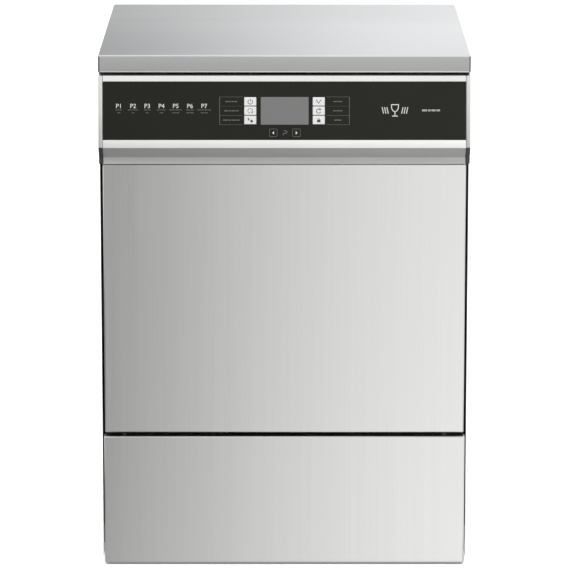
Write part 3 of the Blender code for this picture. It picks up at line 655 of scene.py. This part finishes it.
def worktop_finish(face):
    """1 on the flat front, in a darker, partly matt steel as painted shade, 2 on the folded front corners, in a
    dark steel as painted shade.
    """
    if face.normal.y < -0.97:
        return 1
    return 2 if face.normal.y < -0.3 and abs(face.normal.x) > 0.3 and abs(face.normal.z) < 0.2 else 0


def cap_painted_shade(face):
    """1 on the front faces of an end cap below its lip, dark plastic as painted shade under the lip."""
    return int(face.normal.y < -0.3 and face.calc_center_median().z < LIP_TOP)


# the worktop's flat front and its folded front corners take darker copies of its steel, painted shade
refine("worktop_skin", width=0.0003, others=(FRONT_SHADE_STEEL, CORNER_SHADE_STEEL), which=worktop_finish)
LIP_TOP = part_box("console_profile")[0].z + 0.0300
# the end caps' fronts below the lip take dark plastic, painted shade
for name in ("console_cap_left", "console_cap_right"):
    refine(name, others=(MATERIALS["dark_plastic"],), which=cap_painted_shade)
refine_all(0.0003, "door_outer_panel kick_panel side_panel_left side_panel_right rear_panel")
refine_all(0.0004, "console_profile control_fascia")
refine_all(0.0003, "door_inner_liner dispenser_body dispenser_lid wash_tub base_tray door_lock")
refine_all(0.0003, "hinge_bracket_left hinge_bracket_right front_crossrail lock_strike")
refine_all(0.0002, "lower_runner_left lower_runner_right upper_runner_left upper_runner_right")

# ------------ the worktop's edge and the black strip under it, painted shade in the gap


def make_worktop_hem():
    """The folded lower edge of the worktop's front, a thin rolled bead."""
    low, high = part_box("worktop_skin")
    bead, inset = 0.0011, 0.003
    shape = bmesh.new()
    y, z = low.y + 0.0003, low.z + bead
    add_wire(shape, [(low.x + inset, y, z), (high.x - inset, y, z)], bead, sides=10)
    mesh_piece("worktop_hem", shape, "cabinet", "brushed_steel", material=MATERIALS["worktop_steel"])


def make_console_shade_strip():
    """A black rubber strip along the console's top, painted shade that darkens the gap under the worktop."""
    front, top = -0.2888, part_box("console_profile")[1].z
    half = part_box("console_cap_right")[1].x - 0.004
    section = [(0, -0.0002), (0, 0.0016), (0.004, 0.0024), (0.012, 0.0016), (0.0122, -0.0002)]
    shape = bmesh.new()
    add_prism(shape, [(front + y, top + z) for y, z in section], "X", -half, half)
    mesh_piece("console_shade_strip", shape, "door", "black_rubber", 60)


make_worktop_hem()
make_console_shade_strip()

# ------------ racks


def spread(low, high, pitch):
    """Even stops from low to high, about a pitch apart."""
    count = max(1, round((high - low) / pitch))
    return [low + (high - low) * k / count for k in range(count + 1)]


RIM_WIRE = 0.0020
MESH_WIRE = 0.0014
RACK_PITCH = 0.0375


def make_rack(name, body, half, low, high, slide_half=None):
    """A wire basket: three hoops, a floor and walls of finer wires, and rails that hold the glasses apart.

    slide_half is the half width of the wings that run on the rails, where the rack has them.
    """
    front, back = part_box(name)[0].y + RIM_WIRE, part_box(name)[1].y - RIM_WIRE
    shape = bmesh.new()
    hoop = [(-half, front), (half, front), (half, back), (-half, back)]
    for z in (low, (low + high) / 2, high):
        add_wire(shape, rounded([(x, y, z) for x, y in hoop], 0.018, closed=True), RIM_WIRE, closed=True)
    inner = half - RIM_WIRE - MESH_WIRE
    floor = low + RIM_WIRE + MESH_WIRE
    for y in spread(front + 0.020, back - 0.020, RACK_PITCH):
        route = [(-inner, y, high), (-inner, y, floor), (inner, y, floor), (inner, y, high)]
        add_wire(shape, rounded(route, 0.012), MESH_WIRE, sides=6)
    near, far = front + RIM_WIRE + MESH_WIRE, back - RIM_WIRE - MESH_WIRE
    floor += 2 * MESH_WIRE
    for x in spread(-half + 0.020, half - 0.020, RACK_PITCH):
        route = [(x, near, high), (x, near, floor), (x, far, floor), (x, far, high)]
        add_wire(shape, rounded(route, 0.012), MESH_WIRE, sides=6)
    rail, start, end = floor + 0.016, near + 0.02, far - 0.02
    for x in spread(-half + 0.060, half - 0.060, 0.090):
        route = [(x, start, floor), (x, start, rail), (x, end, rail), (x, end, floor)]
        add_wire(shape, rounded(route, 0.010), MESH_WIRE, sides=6)
    if slide_half:
        for side in (-1, 1):
            outer = side * slide_half
            route = [(side * half, front + 0.010, low), (outer, front + 0.024, low)]
            route += [(outer, back - 0.024, low), (side * half, back - 0.010, low)]
            add_wire(shape, rounded(route, 0.010), RIM_WIRE)
            for y in spread(front + 0.060, back - 0.060, 0.080):
                add_wire(shape, [(side * half, y, low), (outer, y, low)], MESH_WIRE, sides=6)
    rack = mesh_piece(f"{name}_wires", shape, body, "coated_wire")
    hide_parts(name)


def make_racks():
    low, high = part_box("lower_rack")
    make_rack("lower_rack", "lower_basket", high.x - RIM_WIRE, low.z + RIM_WIRE, high.z - RIM_WIRE)
    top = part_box("upper_rack")[1]
    half, floor = high.x - 0.010 - RIM_WIRE, top.z - (high.z - low.z) + RIM_WIRE
    make_rack("upper_rack", "upper_basket", half, floor, top.z - RIM_WIRE, top.x - RIM_WIRE)


make_racks()

# ------------ wash system


JET_REACHES = (0.062, 0.092, 0.122, 0.152, 0.182)
JET_SHIFT = 0.004  # to either side of the arm's middle line
JET_RING = [(0.0018, -0.0004), (0.0022, 0.0010), (0.0040, 0.0009), (0.0056, -0.0002)]
# a black disc inside each jet's ring, painted shade in the hole
JET_HOLE_SHADE = [(0, 0.0003), (0.0021, 0.0003), (0.0021, -0.0004), (0, -0.0004)]


def make_nozzles(name, arm, body, faces):
    """Raised jets along both halves of an arm, each a ring round a black disc that paints the shade in its hole.

    faces holds 1 for jets on top of the blade and -1 for jets under it.
    """
    low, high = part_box(arm)
    middle = (low + high) / 2
    rings, hole_shade = bmesh.new(), bmesh.new()
    for side in (-1, 1):
        for k, reach in enumerate(JET_REACHES):
            x, y = middle.x + side * reach, middle.y + JET_SHIFT * (1 if k % 2 else -1)
            for up in faces:
                place = (x, y, high.z if up > 0 else low.z)
                add_turned(rings, [(r, up * h) for r, h in JET_RING], "Z", place, 20, closed=True)
                add_turned(hole_shade, [(r, up * h) for r, h in JET_HOLE_SHADE], "Z", place, 12)
    mesh_piece(f"{name}_jets", rings, body, "pressed_steel")
    mesh_piece(f"{name}_holes", hole_shade, body, "black_rubber")


def make_arm_cap(name, arm, body):
    low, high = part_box(arm)
    x, y = (low.x + high.x) / 2, (low.y + high.y) / 2
    shape = bmesh.new()
    cap = [(0, 0.006), (0.006, 0.006), (0.009, 0.0045), (0.015, 0.0035), (0.020, 0.0020), (0.021, -0.0004)]
    add_turned(shape, cap + [(0, -0.0004)], "Z", (x, y, high.z), 32)
    mesh_piece(name, shape, body, "dark_plastic")


def make_heater():
    """The sheathed loop above the tub's floor, and a collar where each end enters the back wall."""
    low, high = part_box("heating_element")
    radius = (high.z - low.z) / 2
    z, reach, front = low.z + radius, high.x - radius, low.y + radius
    tail, corner, wall_gap = 0.030, 0.030, 0.039
    back = high.y - wall_gap
    half = [(tail, high.y, z), (tail, back, z), (reach, back, z), (reach, front, z)]
    ends = rounded(half[:3], 0.012)
    bends = rounded([half[1], half[2], half[3], (0, front, z)], corner, steps=8)
    right = ends[:-1] + bends[1:-1]
    left = [Vector((-p.x, p.y, p.z)) for p in reversed(right)]
    shape = bmesh.new()
    add_wire(shape, right + left, radius, sides=12)
    for side in (-1, 1):
        collar = [(0.0052, 0), (0.0085, 0), (0.0085, -0.0030), (0.0070, -0.0042), (0.0052, -0.0042)]
        add_turned(shape, collar, "Y", (side * tail, high.y, z), 24, closed=True)
    loop = mesh_piece("heating_loop", shape, "cabinet", "pressed_steel", 60)
    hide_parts("heating_element")


make_heater()
refine_all(0.0008, "lower_spray_arm upper_spray_arm")
refine_all(0.0004, "sump_bowl lower_spray_pillar rear_water_duct")
make_nozzles("lower_arm", "lower_spray_arm", "lower_arm", (1,))
make_nozzles("upper_arm", "upper_spray_arm", "upper_arm", (1, -1))
make_arm_cap("lower_arm_cap", "lower_spray_arm", "lower_arm")

# ------------ back of the machine

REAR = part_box("rear_panel")[1].y


def make_rear_screws():
    shape = bmesh.new()
    low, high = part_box("rear_panel")
    inset = 0.010
    for z in spread(low.z + 0.025, high.z - 0.025, 0.18):
        for x in (low.x + inset, high.x - inset):
            add_screw(shape, (x, REAR, z), (0, 1, 0))
    for x in spread(low.x + 0.15, high.x - 0.15, 0.15):
        for z in (low.z + inset, high.z - inset):
            add_screw(shape, (x, REAR, z), (0, 1, 0))
    mesh_piece("rear_screws", shape, "cabinet", "pressed_steel")


def make_rear_beads():
    """Pressed ridges that stiffen the rear panel, in two rectangles one above the other."""
    x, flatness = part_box("rear_panel")[1].x - 0.060, 0.3
    shape = bmesh.new()
    for bottom, top in ((0.205, 0.425), (0.465, 0.690)):
        corners = [(-x, REAR, bottom), (x, REAR, bottom), (x, REAR, top), (-x, REAR, top)]
        add_wire(shape, rounded(corners, 0.030, closed=True, steps=8), 0.005, sides=12, closed=True)
    for vertex in shape.verts:
        vertex.co.y = REAR + (vertex.co.y - REAR) * flatness
    mesh_piece("rear_beads", shape, "cabinet", "zinc_plate", 60)


def thread(radius, start, end, pitch, depth):
    """A profile of (radius, height) ridges from start up to end."""
    points = []
    for k in range(round((end - start) / pitch)):
        at = start + pitch * k
        points += [(radius - depth, at), (radius, at + pitch * 0.35), (radius, at + pitch * 0.55)]
    return points


# where the services leave the rear panel
INLET, DRAIN = (-0.205, REAR, 0.110), (-0.120, REAR, 0.095)
GLAND, STUD = (0.205, REAR, 0.095), (0.160, REAR, 0.070)


def make_connectors():
    """The threaded inlet, the ribbed drain spigot, the grips on the gland's nut and the bonding stud."""
    shape = bmesh.new()
    outer = [(0.0122, 0.0030), (0.0160, 0.0030), (0.0160, 0.0006), (0.0122, 0.0006)]
    add_turned(shape, outer, "Y", INLET, 36, closed=True)
    ridges = [(0.0120, 0.0032)] + thread(0.0132, 0.0034, 0.0200, 0.0018, 0.0010)
    ridges += [(0.0118, 0.0206), (0.0102, 0.0206), (0.0102, 0.0032)]
    add_turned(shape, ridges, "Y", INLET, 36, closed=True)
    mesh_piece("inlet_thread", shape, "cabinet", "pale_plastic", 25)
    shape = bmesh.new()
    barbs = [(0.0122, 0.0006)]
    for start in (0.0020, 0.0072, 0.0124):
        barbs += [(0.0132, start), (0.0120, start + 0.0046)]
    barbs += [(0.0112, 0.0180), (0.0100, 0.0180), (0.0100, 0.0006)]
    add_turned(shape, barbs, "Y", DRAIN, 36, closed=True)
    mesh_piece("drain_barbs", shape, "cabinet", "dark_plastic", 25)
    shape = bmesh.new()
    for x, z in round_points(18, 0.0158, GLAND[0], GLAND[2]):
        add_wire(shape, [(x, REAR + 0.0010, z), (x, REAR + 0.0095, z)], 0.0009, sides=6)
    mesh_piece("gland_grips", shape, "cabinet", "dark_plastic")
    shape = bmesh.new()
    stud = [(0, -0.0004), (0.0075, -0.0004), (0.0075, 0.0010), (0.0048, 0.0012), (0.0048, 0.0050)]
    stud += [(0.0030, 0.0052), (0.0030, 0.0110), (0.0024, 0.0120), (0, 0.0120)]
    add_turned(shape, stud, "Y", STUD, 6)
    mesh_piece("bonding_stud", shape, "cabinet", "zinc_plate", 20)


def make_vent_hoods():
    """A pressed louvre over each of the nine vent slots."""
    hood = [(-0.0042, -0.0002), (-0.0042, 0.0008), (0.0022, 0.0042), (0.0030, 0.0042)]
    hood += [(0.0030, 0.0036), (-0.0034, 0.0002), (-0.0034, -0.0002)]
    pitch, bottom, top = 0.024, 0.732, 0.788
    shape = bmesh.new()
    for k in range(-4, 5):
        add_prism(shape, [(k * pitch + x, REAR + y) for x, y in hood], "Z", bottom, top)
    mesh_piece("vent_hoods", shape, "cabinet", "zinc_plate", 30)


make_rear_beads()
make_rear_screws()
make_connectors()
make_vent_hoods()
refine_all(0.0002, "inlet_valve drain_outlet cable_gland")

# ------------ sides, feet and door


def make_side_screws():
    """Two screws near the foot of each side panel."""
    for hand, side in (("left", -1), ("right", 1)):
        low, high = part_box(f"side_panel_{hand}")
        face = low.x if side < 0 else high.x
        shape = bmesh.new()
        for y in (low.y + 0.030, high.y - 0.030):
            add_screw(shape, (face - side * 0.0007, y, low.z + 0.020), (side, 0, 0), 0.0036, 0.0009)
        mesh_piece(f"side_screws_{hand}", shape, "cabinet", "pressed_steel")


FEET = ("foot_front_left", "foot_front_right", "foot_rear_left", "foot_rear_right")


def make_feet():
    """A ribbed pad, a hexagonal adjuster and a threaded stem."""
    for name in FEET:
        low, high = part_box(name)
        x, y = (low.x + high.x) / 2, (low.y + high.y) / 2
        ribbed, metal = bmesh.new(), bmesh.new()
        pad = [(0, 0), (0.0200, 0), (0.0210, 0.0012), (0.0210, 0.0058), (0.0195, 0.0072)]
        pad += [(0.0150, 0.0108), (0.0118, 0.0122), (0, 0.0122)]
        add_turned(ribbed, pad, "Z", (x, y, 0), 40)
        inner, outer = round_points(12, 0.0112, x, y), round_points(12, 0.0190, x, y)
        for near, far in zip(inner, outer):
            add_wire(ribbed, [(*near, 0.0122), (*far, 0.0072)], 0.0009, sides=6)
        nut = [(0, 0.0120), (0.0104, 0.0120), (0.0110, 0.0128), (0.0110, 0.0192)]
        nut += [(0.0104, 0.0200), (0, 0.0200)]
        add_turned(metal, nut, "Z", (x, y, 0), 6)
        stem = [(0, 0.0198)] + thread(0.0060, 0.0200, 0.0452, 0.0018, 0.0007)
        stem += [(0.0050, 0.0458), (0, 0.0460)]
        add_turned(metal, stem, "Z", (x, y, 0), 24)
        made = mesh_piece(f"{name}_pad", ribbed, "cabinet", "dark_plastic", 30)
        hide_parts(name)
        mesh_piece(f"{name}_stem", metal, "cabinet", "zinc_plate", 25)


def make_base_trim():
    """Pressed ribs under the base, and the screws that hold the sheet's edges."""
    low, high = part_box("base_tray")
    z, start, end, half, flatness = low.z, low.y + 0.10, high.y - 0.10, 0.055, 0.35
    beads = bmesh.new()
    for x in (-0.17, 0, 0.17):
        corners = [(x - half, start, z), (x + half, start, z), (x + half, end, z), (x - half, end, z)]
        add_wire(beads, rounded(corners, 0.020, closed=True, steps=6), 0.004, sides=12, closed=True)
    for vertex in beads.verts:
        vertex.co.z = z + (vertex.co.z - z) * flatness
    mesh_piece("base_beads", beads, "cabinet", "zinc_plate", 60)
    screws = bmesh.new()
    for y in (low.y + 0.012, high.y - 0.012):
        for x in spread(low.x + 0.10, high.x - 0.10, 0.13):
            add_screw(screws, (x, y, z), (0, 0, -1))
    mesh_piece("base_screws", screws, "cabinet", "pressed_steel")


def make_liner_screws():
    low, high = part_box("door_inner_liner")
    shape = bmesh.new()
    inset = 0.010
    for z in spread(low.z + 0.060, high.z - 0.030, 0.22):
        for x in (low.x + inset, high.x - inset):
            add_screw(shape, (x, LINER_FLAT, z), (0, 1, 0), 0.0030, 0.0005)
    mesh_piece("liner_screws", shape, "door", "pressed_steel")


def make_dispenser_trim():
    """A rim round the dispenser, its rinse-aid cap and window, and ribs and a latch on its lid.

    The cap stands clear of the lid's travel.
    """
    low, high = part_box("dispenser_body")
    lid_low, lid_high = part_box("dispenser_lid")
    shape = bmesh.new()
    x, z = high.x - 0.0136, (low.z + high.z) / 2 + 0.012
    radius = 0.0104
    cap = [(0, -0.0002), (radius, -0.0002), (radius, 0.0020), (radius - 0.0008, 0.0028), (0, 0.0028)]
    add_turned(shape, cap, "Y", (x, high.y, z), 36)
    for a, b in round_points(20, radius, x, z):
        add_wire(shape, [(a, high.y + 0.0002, b), (a, high.y + 0.0021, b)], 0.0004, sides=6)
    mesh_piece("rinse_cap", shape, "door", "dark_plastic", 30)
    shape = bmesh.new()
    add_box(shape, (x - 0.0072, high.y + 0.0026, z - 0.0012), (x + 0.0072, high.y + 0.0036, z + 0.0012))
    soften(mesh_piece("rinse_grip", shape, "door", "dark_plastic", 30), 0.0004)
    shape = bmesh.new()
    corner = (x - 0.0050, high.y - 0.0002, low.z + 0.0120)
    add_box(shape, corner, (x + 0.0050, high.y + 0.0010, low.z + 0.0220))
    soften(mesh_piece("rinse_window", shape, "door", "dark_plastic", 30, PRINT_DARK), 0.0004)
    shape = bmesh.new()
    for k in range(5):
        at = lid_high.x - 0.010 - 0.0035 * k
        route = [(at, lid_high.y - 0.0002, low.z + 0.030), (at, lid_high.y - 0.0002, high.z - 0.030)]
        add_wire(shape, route, 0.0008, sides=8)
    mesh_piece("lid_ribs", shape, "dispenser_cover", "pale_plastic")
    shape = bmesh.new()
    middle = (lid_low.z + lid_high.z) / 2
    corner = (lid_low.x + 0.006, lid_high.y - 0.0002, middle - 0.009)
    add_box(shape, corner, (lid_low.x + 0.016, lid_high.y + 0.0016, middle + 0.009))
    soften(mesh_piece("lid_latch", shape, "dispenser_cover", "dark_plastic"), 0.0008)
    shape = bmesh.new()
    edge = 0.0025
    for x0, z0, x1, z1 in (
        (low.x, low.z, high.x, low.z + edge),
        (low.x, high.z - edge, high.x, high.z),
        (low.x, low.z + edge, low.x + edge, high.z - edge),
        (high.x - edge, low.z + edge, high.x, high.z - edge),
    ):
        add_box(shape, (x0, high.y - 0.0002, z0), (x1, high.y + 0.0008, z1))
    soften(mesh_piece("dispenser_rim", shape, "door", "pale_plastic"), 0.0003)


def make_seal_lip():
    """The soft bulb that the door's sheet presses on, proud of the seal's strip."""
    low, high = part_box("tub_seal")
    shape = bmesh.new()
    y, inset = (low.y + high.y) / 2, 0.0034
    corners = [(low.x, low.z), (high.x, low.z), (high.x, high.z), (low.x, high.z)]
    middle = Vector(((low.x + high.x) / 2, (low.z + high.z) / 2))
    route = []
    for x, z in corners:
        route.append((x - math.copysign(inset, x - middle.x), y, z - math.copysign(inset, z - middle.y)))
    add_wire(shape, rounded(route, 0.010, closed=True), 0.0022, sides=10, closed=True)
    mesh_piece("seal_bulb", shape, "cabinet", "black_rubber", 60)


HOLE_RINGS = ((0.043, 30), (0.051, 36), (0.059, 42), (0.067, 48), (0.0745, 54))  # radius and count
# a thin black disc laid in each hole of the filter plate, painted shade
HOLE_SHADE_DISC = [(0, 0.00006), (0.0014, 0.00006), (0.0014, -0.0003), (0, -0.0003)]


def make_filter_hole_shade():
    """Rings of round holes in the filter plate, drawn as black discs that paint the shade in each hole, and the
    cup's grip.
    """
    low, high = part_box("filter_plate")
    x, y = (low.x + high.x) / 2, (low.y + high.y) / 2
    shape = bmesh.new()
    for ring, count in HOLE_RINGS:
        for place in round_points(count, ring, x, y):
            add_turned(shape, HOLE_SHADE_DISC, "Z", (*place, high.z), 8)
    mesh_piece("filter_hole_shade", shape, "cabinet", "black_rubber", 0)
    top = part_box("filter_cup")[1].z - 0.0006
    shape = bmesh.new()
    add_box(shape, (x - 0.026, y - 0.0018, top - 0.0060), (x + 0.026, y + 0.0018, top))
    soften(mesh_piece("filter_grip", shape, "filter_insert", "dark_plastic"), 0.0008)


LINER_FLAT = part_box("tub_seal")[0].y - 0.0003
make_side_screws()
make_feet()
make_base_trim()
make_liner_screws()
make_dispenser_trim()
make_seal_lip()
make_filter_hole_shade()
refine_all(0.0004, "filter_cup filter_plate circulation_pump drain_pump dosing_pump power_box")

# ------------ stage

STUDIO = bpy.data.collections.new("studio")
bpy.context.scene.collection.children.link(STUDIO)


def stage_piece(name, corners, material):
    """A sheet of scenery between pairs of corners."""
    mesh = bpy.data.meshes.new(name)
    faces = [(i, i + 1, i + 3, i + 2) for i in range(0, len(corners) - 2, 2)]
    mesh.from_pydata(corners, [], faces)
    mesh.materials.append(material)
    piece = bpy.data.objects.new(name, mesh)
    STUDIO.objects.link(piece)
    return piece


def make_floor(reach=9.0):
    made, tree, shader = blank("pale_floor")
    mottled = remap(tree, noise(tree, (3.0, 3.0, 3.0), detail=4.0), 0, 1)
    tree.links.new(blend_colour(tree, mottled, (0.84,) * 3, (0.87,) * 3), shader.inputs["Base Color"])
    shader.inputs["Roughness"].default_value = 0.8
    shader.inputs["Specular IOR Level"].default_value = 0.2
    return stage_piece("floor", [(x, y, 0) for y in (-reach, reach) for x in (-reach, reach)], made)


GLOW_REACH = 7.0
GLOW_PEAK = 1.5


def glow(name, stops):
    """A glow whose strength eases between stops of (x, strength)."""
    made = bpy.data.materials.new(name)
    made.use_nodes = True
    tree = made.node_tree
    tree.nodes.clear()
    place = add_node(tree, "ShaderNodeTexCoord")
    split = add_node(tree, "ShaderNodeSeparateXYZ")
    tree.links.new(place.outputs["Object"], split.inputs[0])
    share = remap(tree, split.outputs["X"], 0, 1, -GLOW_REACH, GLOW_REACH)
    ramp = add_node(tree, "ShaderNodeValToRGB")
    ramp.color_ramp.interpolation = "EASE"
    steps = ramp.color_ramp.elements
    while len(steps) < len(stops):
        steps.new(0.5)
    for step, (x, strength) in zip(steps, stops):
        step.position = (x + GLOW_REACH) / (2 * GLOW_REACH)
        step.color = (*[strength / GLOW_PEAK] * 3, 1)
    emission = add_node(tree, "ShaderNodeEmission", {"Strength": GLOW_PEAK})
    out = add_node(tree, "ShaderNodeOutputMaterial")
    tree.links.new(share, ramp.inputs["Fac"])
    tree.links.new(ramp.outputs["Color"], emission.inputs["Color"])
    tree.links.new(emission.outputs[0], out.inputs["Surface"])
    made.cycles.emission_sampling = "NONE"
    return made


def make_reflector(name, corners, stops):
    """A studio card that only gloss shows, so it shapes what the steel reflects and lights nothing else."""
    card = stage_piece(name, corners, glow(name, stops))
    card.visible_camera = False
    card.visible_diffuse = False
    card.visible_shadow = False
    card.visible_transmission = False


def make_light(name, place, target, size, power, receivers=None):
    data = bpy.data.lights.new(name, "AREA")
    data.shape = "RECTANGLE"
    data.size, data.size_y = size
    data.energy = power
    light = bpy.data.objects.new(name, data)
    light.location = place
    light.rotation_euler = (Vector(target) - Vector(place)).to_track_quat("-Z", "Y").to_euler()
    light.visible_camera = False
    STUDIO.objects.link(light)
    if receivers:
        light.light_linking.receiver_collection = receivers
    return light


HORIZON = (-0.18, -0.09)  # where the sky eases from dim to bright, as the height of its direction


def make_world(above, below):
    """A plain studio sky, even above the horizon and dimmer below it."""
    world = bpy.data.worlds.new("studio")
    world.use_nodes = True
    tree = world.node_tree
    background = tree.nodes["Background"]
    background.inputs["Color"].default_value = (1, 1, 1, 1)
    place = add_node(tree, "ShaderNodeTexCoord")
    split = add_node(tree, "ShaderNodeSeparateXYZ")
    tree.links.new(place.outputs["Generated"], split.inputs[0])
    strength = remap(tree, split.outputs["Z"], below, above, *HORIZON)
    tree.links.new(strength, background.inputs["Strength"])
    bpy.context.scene.world = world


floor = make_floor()
floor.visible_diffuse = False
FLOOR_ONLY = bpy.data.collections.new("floor_only")
FLOOR_ONLY.objects.link(floor)
make_world(above=0.80, below=0.08)
make_light("floor_wash", (0, 1.0, 6.0), (0, 1.0, 0), (12.0, 12.0), 900, FLOOR_ONLY)
console_fill = make_light("console_fill", (0, -2.0, 3.65), (0, -0.30, 0.75), (2.6, 1.0), 78)
console_fill.visible_glossy = False


def strip(profile, reach=GLOW_REACH):
    """The corners of a card that follows a profile of (y, z) points."""
    return [(x, y, z) for y, z in profile for x in (-reach, reach)]


# dark on the left and bright on the right, which gives the steel its gradient
FRONT_STOPS = [(-7, 0.50), (-2.6, 0.55), (-1.4, 0.08), (-0.85, 0.03)]
FRONT_STOPS += [(0.45, 1.38), (1.4, 1.38), (2.6, 0.75), (7, 0.60)]
BACK_STOPS = [(-7, 0.50), (-2.4, 0.50), (-0.85, 0.38), (0.55, 1.15), (1.4, 1.15), (2.6, 0.70), (7, 0.60)]
TOP_STOPS = [(-7, 0.75), (-1.5, 1.22), (1.5, 1.22), (7, 0.75)]
FLOOR_STOPS = [(-7, 0.04), (-3.6, 0.04), (-2.6, 0.46), (-0.3, 0.50)]
FLOOR_STOPS += [(0.3, 0.58), (2.6, 0.50), (3.6, 0.04), (7, 0.04)]
make_reflector("front_card", strip([(-0.295, 0.003), (-2.6, 0.003), (-2.6, 1.7)]), FRONT_STOPS)
make_reflector("back_card", strip([(1.6, 0.80), (1.6, 2.6)]), BACK_STOPS)
make_reflector("top_card", strip([(-2.6, 1.7), (-2.3, 2.6), (1.6, 2.6)]), TOP_STOPS)
make_reflector("floor_card", strip([(-7, 0.0015), (7, 0.0015)]), FLOOR_STOPS)

scene = bpy.context.scene
scene.view_settings.view_transform = "Standard"
scene.view_settings.look = "None"

# ------------ camera

CAMERA_AT = Vector((0.001, -6.457, 1.781))
CAMERA_PITCH = math.radians(11.98)
SENSOR_WIDTH = 36
FOCAL_SHARE = 3873.5 / 570  # the focal length over the frame's width

camera_data = bpy.data.cameras.new("camera")
camera_data.lens = FOCAL_SHARE * SENSOR_WIDTH
camera_data.sensor_width = SENSOR_WIDTH
camera_data.clip_end = 60
camera = bpy.data.objects.new("camera", camera_data)
camera.location = CAMERA_AT
camera.rotation_euler = (math.pi / 2 - CAMERA_PITCH, 0, 0)
scene.collection.objects.link(camera)
scene.camera = camera
